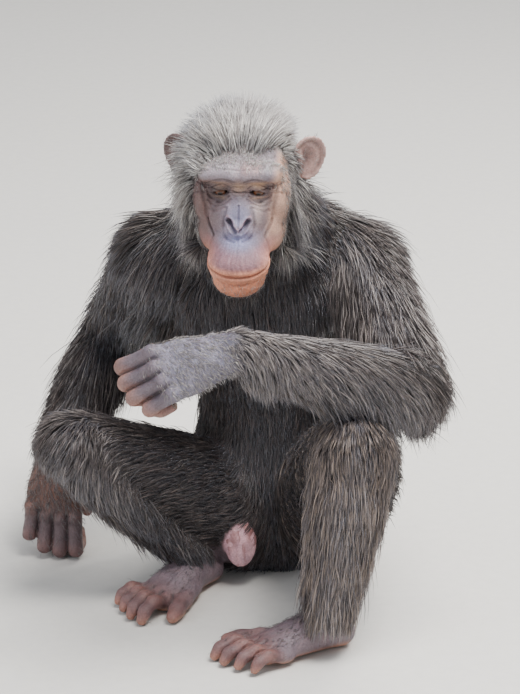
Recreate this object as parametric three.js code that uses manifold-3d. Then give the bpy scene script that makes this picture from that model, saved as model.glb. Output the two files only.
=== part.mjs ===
// An adult chimpanzee, life size, sitting on the floor: one knee up with the left forearm laid across it,
// the other leg folded flat, the right arm hanging down to the floor. Millimetres, +Z up, facing -Y.
// The origin is on the floor under the rump. Left and right are the animal's own.
import * as THREE from "three";
import { mergeVertices } from "three/addons/utils/BufferGeometryUtils.js";
import Module from "manifold-3d";

const wasm = await Module();
wasm.setup();

const gap = 0.3; // clearance kept between neighbouring pieces
const coatGap = 0.8; // clearance kept between the locks of neighbouring pieces
const floorSink = 60; // how far below the floor the cutting block reaches
const v3 = (x, y, z) => new THREE.Vector3(x, y, z);
const degrees = THREE.MathUtils.degToRad;

// Where the joints lie in the pose.
const joint = {
  seat: v3(38, 8, 0),
  hipLeft: v3(122, -45, 112),
  kneeLeft: v3(152, -326, 298),
  ankleLeft: v3(116, -345, 62),
  hipRight: v3(-28, -45, 108),
  kneeRight: v3(-240, -160, 236),
  ankleRight: v3(-80, -118, 60),
  shoulderLeft: v3(158, -30, 470),
  elbowLeft: v3(232, -280, 368),
  wristLeft: v3(-14, -376, 456),
  shoulderRight: v3(-118, -10, 474),
  elbowRight: v3(-192, 192, 290),
  wristRight: v3(-276, 12, 170),
  eyes: v3(-6, -240, 643),
};

// The head leans forward and turns a little to its right.
const headPitch = degrees(12);
const headYaw = degrees(4);
const eye = { side: 26, front: -66, height: 20, radius: 12 };

// A solid from a closed geometry, whose shared vertices are merged first.
function toSolid(geometry) {
  const plain = geometry.index ? geometry.toNonIndexed() : geometry.clone();
  plain.deleteAttribute("normal");
  plain.deleteAttribute("uv");
  const merged = mergeVertices(plain, 1e-3);
  return new wasm.Manifold(
    new wasm.Mesh({
      numProp: 3,
      vertProperties: merged.attributes.position.array,
      triVerts: new Uint32Array(merged.index.array),
    }),
  );
}

// The geometry of a solid.
function toGeometry(solid) {
  const mesh = solid.getMesh();
  const geometry = new THREE.BufferGeometry();
  geometry.setAttribute("position", new THREE.BufferAttribute(mesh.vertProperties, 3));
  geometry.setIndex(new THREE.BufferAttribute(mesh.triVerts, 1));
  geometry.computeVertexNormals();
  return geometry;
}

const join = (solids) => solids.reduce((sum, solid) => sum.add(solid));

// Keeps the largest closed surface, so no loose scrap and no sealed hollow stays.
function largest(solid) {
  const bodies = solid.decompose().filter((body) => body.volume() > 0);
  return bodies.reduce((best, body) => (body.volume() > best.volume() ? body : best));
}

// A rounded limb through stations of centre, half width along the across direction, and half depth.
class Limb {
  constructor(stations, { across = v3(1, 0, 0), rings = 8, sides = 12, dome = [0.5, 0.87] } = {}) {
    this.path = new THREE.CatmullRomCurve3(stations.map((s) => s.at), false, "centripetal");
    const last = stations.length - 1;
    this.sizes = new THREE.CatmullRomCurve3(
      stations.map((s, i) => v3(s.wide, s.deep, i / last)), false, "catmullrom", 0.5);
    this.across = across;
    this.rings = rings;
    this.sides = sides;
    this.dome = dome; // how far the rings of each rounded end have closed
  }

  // Centre, axes and half sizes at u, from 0 at the root to 1 at the end.
  frame(u, swell = 0) {
    const centre = this.path.getPoint(u);
    const along = this.path.getTangent(u).normalize();
    const wide = this.across.clone().addScaledVector(along, -this.across.dot(along)).normalize();
    const deep = along.clone().cross(wide);
    const size = this.sizes.getPoint(u);
    return { centre, along, wide, deep, a: size.x + swell, b: size.y + swell };
  }

  // A point of the surface and the way out of it. Angle 0 is along wide and a quarter turn is along deep.
  surface(u, angle) {
    const f = this.frame(u);
    const at = f.centre.clone()
      .addScaledVector(f.wide, f.a * Math.cos(angle))
      .addScaledVector(f.deep, f.b * Math.sin(angle));
    const out = v3(0, 0, 0)
      .addScaledVector(f.wide, Math.cos(angle) / f.a)
      .addScaledVector(f.deep, Math.sin(angle) / f.b).normalize();
    return { at, out };
  }

  solid(swell = 0) {
    const rings = [];
    const ringAt = (f, scale, shift) => {
      const ring = [];
      for (let k = 0; k < this.sides; k++) {
        const angle = (2 * Math.PI * k) / this.sides;
        ring.push(f.centre.clone().addScaledVector(f.along, shift)
          .addScaledVector(f.wide, scale * f.a * Math.cos(angle))
          .addScaledVector(f.deep, scale * f.b * Math.sin(angle)));
      }
      return ring;
    };
    const ends = [this.frame(0, swell), this.frame(1, swell)];
    const depth = ends.map((f) => Math.min(f.a, f.b));
    for (const share of [...this.dome].reverse())
      rings.push(ringAt(ends[0], Math.sqrt(1 - share * share), -share * depth[0]));
    for (let i = 0; i <= this.rings; i++) rings.push(ringAt(this.frame(i / this.rings, swell), 1, 0));
    for (const share of this.dome)
      rings.push(ringAt(ends[1], Math.sqrt(1 - share * share), share * depth[1]));
    const tips = [
      ends[0].centre.clone().addScaledVector(ends[0].along, -depth[0]),
      ends[1].centre.clone().addScaledVector(ends[1].along, depth[1]),
    ];
    return toSolid(skinRings(rings, tips));
  }
}

// A closed surface over rings of points, ended by one point at each tip.
function skinRings(rings, tips) {
  const sides = rings[0].length;
  const points = [...rings.flat(), ...tips];
  const faces = [];
  const first = rings.length * sides;
  for (let k = 0; k < sides; k++) {
    const next = (k + 1) % sides;
    faces.push(first, next, k);
    const top = (rings.length - 1) * sides;
    faces.push(first + 1, top + k, top + next);
    for (let i = 0; i < rings.length - 1; i++) {
      const low = i * sides;
      const high = low + sides;
      faces.push(low + k, low + next, high + next, low + k, high + next, high + k);
    }
  }
  const geometry = new THREE.BufferGeometry().setFromPoints(points);
  geometry.setIndex(faces);
  return geometry;
}

// An ellipsoid at a place, placed by a matrix.
function ball(at, radii, { swell = 0, matrix = null, turn = null, segments = [14, 9] } = {}) {
  const geometry = new THREE.SphereGeometry(1, ...segments);
  geometry.scale(radii[0] + swell, radii[1] + swell, radii[2] + swell);
  if (turn) geometry.applyMatrix4(new THREE.Matrix4().makeRotationFromEuler(turn));
  geometry.translate(at[0], at[1], at[2]);
  if (matrix) geometry.applyMatrix4(matrix);
  return toSolid(geometry);
}

function block(low, high) {
  const size = high.clone().sub(low);
  const middle = high.clone().add(low).multiplyScalar(0.5);
  return toSolid(new THREE.BoxGeometry(size.x, size.y, size.z).translate(middle.x, middle.y, middle.z));
}

const farCorner = 1200;
const floorBlock = block(v3(-farCorner, -farCorner, -floorSink), v3(farCorner, farCorner, 0));

// Everything between two heights.
const layer = (low, high) => block(v3(-farCorner, -farCorner, low), v3(farCorner, farCorner, high));

const station = (at, wide, deep) => ({ at, wide, deep });
const mix = (from, to, share) => from.clone().lerp(to, share);

// Torso, from under the seat to the root of the neck.
const torsoCut = { belly: 185, chest: 335 };
const torso = new Limb([
  station(v3(38, 18, 12), 100, 84),
  station(v3(38, 16, 70), 122, 98),
  station(v3(40, 16, 140), 118, 100),
  station(v3(42, 20, 220), 110, 102),
  station(v3(40, 18, 300), 116, 110),
  station(v3(32, 2, 390), 134, 114),
  station(v3(24, -20, 470), 136, 102),
  station(v3(14, -54, 532), 98, 78),
], { rings: 10, sides: 18 });

const neck = new Limb([
  station(v3(14, -52, 505), 94, 76),
  station(v3(8, -92, 556), 82, 72),
  station(v3(3, -128, 592), 70, 64),
], { rings: 3, sides: 8 });

const upperArmLeft = new Limb([
  station(joint.shoulderLeft, 66, 62),
  station(mix(joint.shoulderLeft, joint.elbowLeft, 0.4), 60, 54),
  station(mix(joint.shoulderLeft, joint.elbowLeft, 0.8), 50, 46),
  station(joint.elbowLeft, 44, 42),
], { across: v3(0, 0, 1), rings: 5, sides: 10 });

const forearmLeft = new Limb([
  station(mix(joint.elbowLeft, joint.wristLeft, 0.02), 42, 42),
  station(mix(joint.elbowLeft, joint.wristLeft, 0.28), 47, 43),
  station(mix(joint.elbowLeft, joint.wristLeft, 0.6), 41, 36),
  station(joint.wristLeft, 32, 23),
], { across: v3(0, 0, 1), rings: 5, sides: 10 });

const upperArmRight = new Limb([
  station(joint.shoulderRight, 66, 64),
  station(mix(joint.shoulderRight, joint.elbowRight, 0.45), 54, 58),
  station(mix(joint.shoulderRight, joint.elbowRight, 0.8), 46, 50),
  station(joint.elbowRight, 42, 44),
], { across: v3(1, 0, 0), rings: 5, sides: 10 });

const forearmRight = new Limb([
  station(mix(joint.elbowRight, joint.wristRight, 0.02), 42, 42),
  station(mix(joint.elbowRight, joint.wristRight, 0.35), 42, 46),
  station(mix(joint.elbowRight, joint.wristRight, 0.7), 33, 38),
  station(joint.wristRight, 27, 32),
], { across: v3(0, 1, 0), rings: 5, sides: 10 });

const thighLeft = new Limb([
  station(mix(joint.hipLeft, joint.seat, 0.15), 80, 84),
  station(mix(joint.hipLeft, joint.kneeLeft, 0.2), 80, 86),
  station(mix(joint.hipLeft, joint.kneeLeft, 0.6), 72, 74),
  station(joint.kneeLeft, 57, 54),
], { across: v3(1, 0, 0), rings: 5, sides: 12 });

const shinLeft = new Limb([
  station(mix(joint.kneeLeft, joint.ankleLeft, 0.02), 54, 50),
  station(mix(joint.kneeLeft, joint.ankleLeft, 0.3), 56, 58),
  station(mix(joint.kneeLeft, joint.ankleLeft, 0.65), 45, 46),
  station(mix(joint.kneeLeft, joint.ankleLeft, 0.98), 31, 34),
], { across: v3(1, 0, 0), rings: 5, sides: 12 });

const thighRight = new Limb([
  station(mix(joint.hipRight, joint.seat, 0.2), 82, 80),
  station(mix(joint.hipRight, joint.kneeRight, 0.25), 78, 76),
  station(mix(joint.hipRight, joint.kneeRight, 0.6), 66, 64),
  station(joint.kneeRight, 50, 50),
], { across: v3(0, 0, 1), rings: 5, sides: 12 });

const shinRight = new Limb([
  station(mix(joint.kneeRight, joint.ankleRight, 0.02), 48, 48),
  station(mix(joint.kneeRight, joint.ankleRight, 0.3), 52, 48),
  station(mix(joint.kneeRight, joint.ankleRight, 0.65), 40, 38),
  station(mix(joint.kneeRight, joint.ankleRight, 0.98), 32, 28),
], { across: v3(0, 1, 0), rings: 5, sides: 12 });

// Hands and feet are built in a frame of their own: along the bones, across from thumb side to little finger
// side, and the palm direction that the fingers curl towards.
function digit(root, along, palm, lengths, bends, radius, swell, rings = 3) {
  const axis = along.clone().cross(palm).normalize();
  const points = [root.clone().addScaledVector(along, -radius * 1.2), root.clone()];
  const direction = along.clone();
  lengths.forEach((length, i) => {
    direction.applyAxisAngle(axis, degrees(bends[i]));
    points.push(points[points.length - 1].clone().addScaledVector(direction, length));
  });
  const taper = [1.06, 1.04, 1, 0.95, 0.84];
  const stations = points.map((at, i) => station(at, radius * taper[i], radius * taper[i] * 0.92));
  return new Limb(stations, { across: axis, rings, sides: 5, dome: [0.7] }).solid(swell);
}

const handSize = {
  palm: 112, halfWidth: 41, halfDepth: 19, spacing: 21, reach: [1, 1.01, 0.97, 0.88],
  fingers: [[52, 36, 20], [54, 40, 21], [54, 38, 21], [46, 30, 18]], radius: 12,
  thumb: [38, 28, 18], thumbRadius: 10.5,
};

// Across goes from the thumb's side to the little finger's, and the fingers curl towards the palm's side.
function hand({ wrist, along, across, palmSide, bends, thumb }, swell) {
  const palm = across.clone().cross(along).multiplyScalar(palmSide).normalize();
  const reach = (share) => wrist.clone().addScaledVector(along, handSize.palm * share);
  const pieces = [new Limb([
    station(reach(-0.1), 30, 20),
    station(reach(0.3), 34, 21),
    station(reach(0.72), handSize.halfWidth + 2, handSize.halfDepth),
    station(reach(0.92), handSize.halfWidth, handSize.halfDepth - 3),
  ], { across, rings: 3, sides: 8 }).solid(swell)];
  handSize.fingers.forEach((lengths, i) => {
    const root = reach(handSize.reach[i]).addScaledVector(across, (i - 1.5) * handSize.spacing);
    const spread = along.clone().addScaledVector(across, (i - 1.5) * 0.05).normalize();
    pieces.push(digit(root, spread, palm, lengths, bends, handSize.radius - 0.5 * i, swell));
  });
  const thumbRoot = reach(0.3).addScaledVector(across, -26).addScaledVector(palm, 12);
  const thumbAlong = along.clone().addScaledVector(across, thumb.aside).addScaledVector(palm, thumb.inward);
  pieces.push(digit(thumbRoot, thumbAlong.normalize(), palm, handSize.thumb, [0, 15, 15],
    handSize.thumbRadius, swell));
  return join(pieces);
}

const footSize = {
  length: 128, toes: [[30, 22, 14], [32, 23, 14], [30, 21, 13], [26, 18, 12]], radius: 10.5,
  spacing: 17.5, hallux: [34, 28, 20], halluxRadius: 13,
};

// Along points from the heel to the toes on the floor, and across goes from the big toe to the little toe.
function foot({ heel, along, across, ankle, halluxAside }, swell) {
  const down = v3(0, 0, -1);
  const reach = (share, height) =>
    heel.clone().addScaledVector(along, footSize.length * share).setZ(height);
  const pieces = [
    new Limb([
      station(reach(0.02, 22), 23, 22),
      station(reach(0.3, 30), 28, 30),
      station(reach(0.62, 24), 34, 24),
      station(reach(0.98, 14), 37, 14),
    ], { across, rings: 5, sides: 10 }).solid(swell),
    new Limb([
      station(ankle.clone().setZ(ankle.z + 10), 30, 31),
      station(reach(0.24, 30), 28, 30),
    ], { across: along, rings: 1, sides: 8 }).solid(swell),
  ];
  footSize.toes.forEach((lengths, i) => {
    const offset = (i - 1.1) * footSize.spacing;
    const root = reach(0.98 - 0.05 * i, 15).addScaledVector(across, offset);
    const spread = along.clone().addScaledVector(across, (i - 1) * 0.1).normalize();
    pieces.push(digit(root, spread, down, lengths, [-22, 40, 34], footSize.radius - 0.5 * i, swell));
  });
  const halluxRoot = reach(0.5, 15).addScaledVector(across, -24);
  const halluxAlong = along.clone().addScaledVector(across, -halluxAside).normalize();
  pieces.push(digit(halluxRoot, halluxAlong, down, footSize.hallux, [0, 4, 6], footSize.halluxRadius, swell));
  return join(pieces);
}

// The head, in its own frame: the origin is between the ears, -Y is forward and +X is the animal's left.
const headTurn = new THREE.Matrix4().makeRotationZ(-headYaw)
  .multiply(new THREE.Matrix4().makeRotationX(headPitch));
const headOrigin = joint.eyes.clone()
  .sub(v3(0, eye.front, eye.height).applyMatrix4(headTurn));
const headMatrix = headTurn.clone().setPosition(headOrigin);
const inHead = (x, y, z) => v3(x, y, z).applyMatrix4(headMatrix);
const headUp = v3(0, 0, 1).applyMatrix4(headTurn);

const otherSide = ([x, y, z]) => [-x, y, z];
const bothSides = (blobs) => blobs.flatMap((blob) => [blob, { ...blob, at: otherSide(blob.at) }]);

// The flesh of the head as blended ellipsoids. Blend is how far each one melts into the others.
const headFlesh = [
  { at: [0, 6, 20], radii: [66, 78, 55], blend: 1 },
  { at: [0, 34, -14], radii: [52, 40, 40], blend: 14 },
  { at: [0, -34, 8], radii: [58, 40, 46], blend: 14 },
  { at: [0, -70, -20], radii: [40, 34, 40], blend: 14 },
  { at: [0, -86, -58], radii: [42, 44, 34], blend: 12 },
  { at: [0, -118, -64], radii: [41, 31, 20], blend: 10 },
  { at: [0, -115, -92], radii: [39, 36, 23], blend: 8 },
  { at: [0, -30, -48], radii: [48, 52, 44], blend: 16 },
  { at: [0, -62, 42], radii: [28, 15, 14], blend: 14 },
  { at: [0, -66, 20], radii: [15, 10, 22], blend: 12 },
  { at: [0, -84, -6], radii: [8, 11, 24], blend: 9 },
  { at: [0, -106, -20], radii: [12, 9, 9], blend: 6 },
  ...bothSides([
    { at: [33, -58, 43], radii: [25, 17, 15], blend: 14 },
    { at: [46, -46, 6], radii: [16, 26, 28], blend: 14 },
    { at: [36, -52, -52], radii: [18, 40, 28], blend: 16 },
    { at: [11, -103, -25], radii: [9, 9, 8], blend: 5 },
  ]),
];

// How far a point lies outside an ellipsoid, nearly.
function outside([x, y, z], { at, radii }) {
  const d = [(x - at[0]) / radii[0], (y - at[1]) / radii[1], (z - at[2]) / radii[2]];
  const near = Math.hypot(...d);
  const slope = Math.hypot(d[0] / radii[0], d[1] / radii[1], d[2] / radii[2]);
  return slope < 1e-9 ? -Math.min(...radii) : (near * (near - 1)) / slope;
}

const melt = (a, b, blend) => {
  const h = Math.max(blend - Math.abs(a - b), 0) / blend;
  return Math.min(a, b) - (h * h * blend) / 4;
};

function headField(point) {
  let field = outside(point, headFlesh[0]);
  for (const blob of headFlesh.slice(1)) field = melt(field, outside(point, blob), blob.blend);
  return field;
}

// The way out of the head at a point of its surface.
function headOut(point) {
  const step = 1;
  const slope = [0, 1, 2].map((k) => {
    const ahead = point.map((part, i) => (i === k ? part + step : part));
    return headField(ahead) - headField(point);
  });
  return v3(...slope).applyMatrix4(headTurn).normalize();
}

// Where a ray from inside the head leaves it. Azimuth 0 is forward, height 0 is up.
const headCentre = [0, -50, -28];
const headReach = 210; // no part of the skull is further from its centre
function onHead(azimuth, height, swell = 0) {
  const flat = Math.sin(height);
  const ray = [flat * Math.sin(azimuth), -flat * Math.cos(azimuth), Math.cos(height)];
  const at = (reach) => headCentre.map((part, k) => part + ray[k] * reach);
  const stride = 5;
  let high = headReach;
  while (high > stride && headField(at(high - stride)) > swell) high -= stride;
  let low = high - stride;
  for (let halving = 0; halving < 12; halving++) {
    const middle = (low + high) / 2;
    if (headField(at(middle)) > swell) high = middle;
    else low = middle;
  }
  return at(low);
}

// Reads a value off a bent scale, so that rows and columns lie close together on the face.
function bent(share, scale) {
  const last = scale.length - 1;
  const i = Math.min(Math.floor(share * last), last - 1);
  return THREE.MathUtils.lerp(scale[i], scale[i + 1], share * last - i);
}
const rowScale = [0, 26, 48, 60, 71, 82, 94, 106, 118, 146, 180].map(degrees);
const columnScale = [0, 15, 30, 46, 66, 110, 180].map(degrees);

function skull(swell) {
  const geometry = new THREE.SphereGeometry(1, 22, 18);
  const place = geometry.attributes.position;
  for (let i = 0; i < place.count; i++) {
    const polar = Math.acos(THREE.MathUtils.clamp(place.getY(i), -1, 1)) / Math.PI;
    const turn = Math.atan2(place.getX(i), place.getZ(i)) / Math.PI;
    const azimuth = Math.sign(turn) * bent(Math.abs(turn), columnScale);
    place.setXYZ(i, ...onHead(azimuth, bent(polar, rowScale), swell));
  }
  geometry.applyMatrix4(headMatrix);
  return toSolid(geometry);
}

// A bar through points of the head's frame.
function headBar(points, radius, swell, rings = 10, sides = 6) {
  const stations = points.map(([x, y, z]) => station(inHead(x, y, z), radius, radius));
  return new Limb(stations, { across: headUp, rings, sides }).solid(swell);
}

const mirrored = (points) => [...points.slice(1).map(otherSide).reverse(), ...points];

const lid = { radii: [16.5, 14.5, 15], slit: [12, 12, 4.5], slitAhead: 15, slitDown: 3 };
const nostril = { at: [8, -113, -29], radii: [5, 8, 5] };
const mouth = { radius: 4, line: [[0, -154, -76], [17, -150, -75], [33, -134, -71], [45, -110, -64]] };

// The skull with its lids, with the slits between them, the nostrils and the line of the mouth cut in.
function head(swell) {
  const inFace = { matrix: headMatrix, segments: [8, 5] };
  const lids = [-1, 1].map((side) =>
    ball([side * eye.side, eye.front, eye.height], lid.radii, { ...inFace, swell, segments: [9, 6] }));
  const made = join([skull(swell), ...lids]);
  if (swell) return made;
  const cuts = [headBar(mirrored(mouth.line), mouth.radius, 0, 8, 5)];
  for (const side of [-1, 1]) {
    const slitAt = [side * eye.side, eye.front - lid.slitAhead, eye.height - lid.slitDown];
    cuts.push(ball(slitAt, lid.slit, inFace));
    cuts.push(ball([side * nostril.at[0], nostril.at[1], nostril.at[2]], nostril.radii, inFace));
  }
  return cuts.reduce((rest, cut) => rest.subtract(cut), made);
}

const eyeball = (side, swell) => ball([side * eye.side, eye.front, eye.height],
  [eye.radius, eye.radius, eye.radius], { swell, matrix: headMatrix, segments: [8, 6] });

// The outer ear is a rounded cup with a rim, turned a little forward.
const earSize = {
  cup: { at: [92, 8, 26], radii: [32, 9, 34] }, hollow: { at: [97, -2, 27], radii: [23, 8, 26] },
  root: { at: [68, 8, 18], radii: [24, 12, 27] }, turn: degrees(-35),
};
function ear(side, swell) {
  const turn = new THREE.Euler(0, 0, side * earSize.turn);
  const shape = ({ at: [x, y, z], radii }, options) =>
    ball([side * x, y, z], radii, { matrix: headMatrix, ...options });
  const cup = shape(earSize.cup, { turn, swell, segments: [9, 6] });
  const made = cup.add(shape(earSize.root, { swell, segments: [7, 5] }));
  return swell ? made : made.subtract(shape(earSize.hollow, { turn, segments: [8, 5] }));
}

// A repeatable run of draws from -1 to 1.
function draws(seed) {
  let state = seed;
  return () => {
    state = (state * 1664525 + 1013904223) % 4294967296;
    return (state / 4294967296) * 2 - 1;
  };
}

// One lock of hair: a flat, ridged, tapered, bending blade that starts under the skin and stands off it at
// the tip. Lie is the way that it grows, and out is the way off the skin. Round and bow are the skin's radii
// across and along it.
const lockSink = 10;
const lockShape = [
  { along: 0, wide: 0.85, thick: 1 },
  { along: 0.4, wide: 1, thick: 1 },
  { along: 0.76, wide: 0.66, thick: 0.7 },
];
function lockSection(across, depth, hug, swell) {
  if (!swell) return [[across, -hug], [0, depth], [-across, -hug]];
  const half = across + swell;
  return [[half, -hug - swell], [half, swell - hug], [0, depth + swell], [-half, swell - hug],
    [-half, -hug - swell]];
}
function lock({ at, out, lie, length, wide, thick, lift, round, bow }, swell) {
  const side = out.clone().cross(lie).normalize();
  const middle = (along) => at.clone()
    .addScaledVector(lie, length * along)
    .addScaledVector(out, -lockSink + (lockSink + lift) * Math.sin((Math.PI / 2) * along ** 0.8)
      - (length * along) ** 2 / (2 * bow));
  const rings = lockShape.map((part) => {
    const across = (wide * part.wide) / 2;
    const depth = (thick * part.thick) / 2;
    const hug = (across * across) / (2 * round) + depth;
    const centre = middle(part.along);
    return lockSection(across, depth, hug, swell).map(([sideways, off]) =>
      centre.clone().addScaledVector(side, sideways).addScaledVector(out, off));
  });
  const heading = middle(1).sub(middle(lockShape.at(-1).along)).normalize();
  const tips = [middle(0).addScaledVector(lie, -2 - swell), middle(1).addScaledVector(heading, swell * 4)];
  return toSolid(skinRings(rings, tips));
}

// Whether a point comes within a margin of any of the limbs.
const limbSamples = 16;
function nearLimb(point, limbs, margin) {
  return limbs.some((limb) => {
    for (let i = 0; i <= limbSamples; i++) {
      const f = limb.frame(i / limbSamples);
      if (point.distanceTo(f.centre) < Math.max(f.a, f.b) + margin) return true;
    }
    return false;
  });
}

// Rows of locks over a limb between two places along it, each row shifted by half a lock from the last.
// Flow is 1 where the hair runs toward the limb's end and -1 where it runs toward its root. Drop is how much
// it hangs, and cover is a lock's width as a share of its part of the way round.
const vary = { turn: 0.08, lie: 0.12, length: 0.16, wide: 0.06, lift: 0.25 };
const lieStep = 0.04;
const lowestTip = 12;
function limbLocks(limb, coat, swell, others) {
  const draw = draws(coat.seed);
  const made = [];
  for (let row = 0; row < coat.rows; row++) {
    const u = coat.from + ((coat.to - coat.from) * row) / Math.max(coat.rows - 1, 1);
    const f = limb.frame(u);
    for (let k = 0; k < coat.around; k++) {
      const angle = ((2 * Math.PI) / coat.around) * (k + 0.5 * (row % 2) + vary.turn * draw());
      const place = limb.surface(u, angle);
      const [ahead, behind] = [lieStep, -lieStep].map((step) =>
        limb.surface(THREE.MathUtils.clamp(u + coat.flow * step, 0, 1), angle).at);
      const skin = ahead.sub(behind).normalize();
      place.out.addScaledVector(skin, -place.out.dot(skin)).normalize();
      const lie = skin.clone().add(v3(0, 0, -coat.drop))
        .addScaledVector(skin.clone().cross(place.out), vary.lie * draw());
      lie.addScaledVector(place.out, -lie.dot(place.out)).normalize();
      const size = {
        length: coat.length * (1 + vary.length * draw()),
        wide: ((coat.cover * Math.PI * (f.a + f.b)) / coat.around) * (1 + vary.wide * draw()),
        thick: coat.thick,
        lift: coat.lift * (1 + vary.lift * draw()),
      };
      const tip = place.at.clone().addScaledVector(lie, size.length).addScaledVector(place.out, size.lift);
      const reach = [place.at, mix(place.at, tip, 0.5), tip];
      if (tip.z < lowestTip || reach.some((point) => nearLimb(point, others, coat.clear))) continue;
      made.push(lock({ ...place, lie, ...size, round: Math.min(f.a, f.b), bow: coat.bow }, swell));
    }
  }
  return made;
}

const onFloor = (x, y) => v3(x, y, 0).normalize();
const handLeft = {
  wrist: joint.wristLeft,
  along: v3(-0.95, -0.2, -0.23).normalize(),
  across: v3(0.3, -0.58, -0.75).normalize(),
  palmSide: 1, bends: [35, 88, 50], thumb: { aside: 0.1, inward: 0.5 },
};
const handRight = {
  wrist: joint.wristRight,
  along: v3(-0.06, -0.16, -0.97).normalize(),
  across: v3(-1, 0.1, 0.05).normalize(),
  palmSide: -1, bends: [4, 88, 60], thumb: { aside: -0.25, inward: 0.2 },
};
const footLeft = {
  heel: v3(134, -312, 0), along: onFloor(-165, -78), across: onFloor(78, -165),
  ankle: joint.ankleLeft, halluxAside: 0.5,
};
const footRight = {
  heel: v3(-52, -92, 0), along: onFloor(-62, -78), across: onFloor(-78, 62),
  ankle: joint.ankleRight, halluxAside: 0.4,
};

// Plain forms round the hands and feet, which the locks keep clear of.
const handGuard = ({ wrist, along }) => new Limb([
  station(wrist, 30, 28),
  station(wrist.clone().addScaledVector(along, handSize.palm * 1.3), 48, 40),
]);
const footGuard = ({ heel, along }) => new Limb([
  station(heel.clone().setZ(20), 36, 30),
  station(heel.clone().addScaledVector(along, footSize.length * 1.4).setZ(12), 50, 24),
]);
const limbs = {
  torso, neck, upperArmLeft, forearmLeft, upperArmRight, forearmRight,
  thighLeft, shinLeft, thighRight, shinRight,
  handLeft: handGuard(handLeft),
  handRight: handGuard(handRight),
  footLeft: footGuard(footLeft),
  footRight: footGuard(footRight),
};
const limbsBut = (...names) => Object.entries(limbs).filter(([name]) => !names.includes(name))
  .map(([, limb]) => limb);

// How each part's coat lies, and which forms it may touch.
const coats = {
  chest: { limb: torso, own: ["torso", "neck"],
    from: 0.72, to: 0.98, rows: 3, around: 10, length: 104, flow: -1, bow: 260, lift: 30 },
  abdomen: { limb: torso, own: ["torso"], from: 0.5, to: 0.6, rows: 2, around: 9, length: 86, flow: -1 },
  pelvis: { limb: torso, own: ["torso"], from: 0.19, to: 0.33, rows: 2, around: 10, length: 74, flow: -1 },
  neck: { limb: neck, own: ["neck", "torso"],
    from: 0.35, to: 0.85, rows: 2, around: 6, length: 80, flow: -1 },
  upper_arm_left: { limb: upperArmLeft, own: ["upperArmLeft", "torso"],
    from: 0.04, to: 0.82, rows: 4, around: 5, length: 100, drop: 0.3 },
  forearm_left: { limb: forearmLeft, own: ["forearmLeft"],
    from: 0.34, to: 0.95, rows: 3, around: 6, length: 94, flow: -1, drop: 0.5 },
  upper_arm_right: { limb: upperArmRight, own: ["upperArmRight", "torso"],
    from: 0.04, to: 0.82, rows: 4, around: 5, length: 100, drop: 0.2 },
  forearm_right: { limb: forearmRight, own: ["forearmRight"],
    from: 0.06, to: 0.55, rows: 3, around: 5, length: 88, drop: 0.2 },
  thigh_left: { limb: thighLeft, own: ["thighLeft", "torso"],
    from: 0.17, to: 0.76, rows: 3, around: 6, length: 112, drop: 0.25 },
  shin_left: { limb: shinLeft, own: ["shinLeft"],
    from: 0.04, to: 0.7, rows: 4, around: 6, length: 80 },
  thigh_right: { limb: thighRight, own: ["thighRight", "torso"],
    from: 0.17, to: 0.78, rows: 3, around: 6, length: 112, drop: 0.25 },
  shin_right: { limb: shinRight, own: ["shinRight"],
    from: 0.04, to: 0.68, rows: 4, around: 6, length: 78 },
};
const coatUsual = { flow: 1, drop: 0, cover: 0.84, thick: 6, lift: 24, bow: 600, clear: 4 };

// The head's locks stand up on the crown and hang down the cheeks, clear of the face and the ears. Each row
// has its height down from the crown and, where it leaves the face bare, how far round it starts, in degrees.
const headRows = [
  { height: 14, count: 5, up: 0.3, length: 58, lift: 30 },
  { height: 36, count: 8, up: 0, length: 62, lift: 30 },
  { height: 57, count: 8, up: -0.2, length: 62, lift: 28, from: 34 },
  { height: 78, count: 7, up: -0.9, length: 68, lift: 32, from: 66 },
  { height: 100, count: 6, up: -1, length: 66, lift: 28, from: 76 },
];
const headLock = { wide: 34, thick: 6, round: 60, bow: 130 };
const headVary = { round: 0.15, height: 3, length: 0.12, lift: 0.2 };
const earSpan = { side: 45, low: 2, high: 60, back: 34, front: -24 };
function headLocks(swell) {
  const draw = draws(31);
  const made = [];
  for (const row of headRows) {
    for (let k = 0; k < row.count; k++) {
      const turn = degrees(row.from ?? 0);
      const azimuth = turn + ((2 * Math.PI - 2 * turn) * (k + 0.5 + headVary.round * draw())) / row.count;
      const root = onHead(azimuth, degrees(row.height + headVary.height * draw()));
      const out = headOut(root);
      const byEar = Math.abs(root[0]) > earSpan.side && root[1] > earSpan.front && root[1] < earSpan.back
        && root[2] > earSpan.low && root[2] < earSpan.high;
      if (byEar) continue;
      const lie = v3(root[0] * 0.012, 0.8, row.up).applyMatrix4(headTurn);
      lie.addScaledVector(out, -lie.dot(out)).normalize();
      made.push(lock({
        ...headLock, at: inHead(...root), out, lie,
        length: row.length * (1 + headVary.length * draw()),
        lift: row.lift * (1 + headVary.lift * draw()),
      }, swell));
    }
  }
  return made;
}

function locksOf(name, swell) {
  if (name === "head") return headLocks(swell);
  const coat = coats[name];
  if (!coat) return [];
  const seed = 11 + Object.keys(coats).indexOf(name);
  return limbLocks(coat.limb, { ...coatUsual, ...coat, seed }, swell, limbsBut(...coat.own));
}

// The bare pink skin between the thighs.
const rumpSkin = { at: [-7, -112, 68], radii: [24, 16, 38] };

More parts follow.
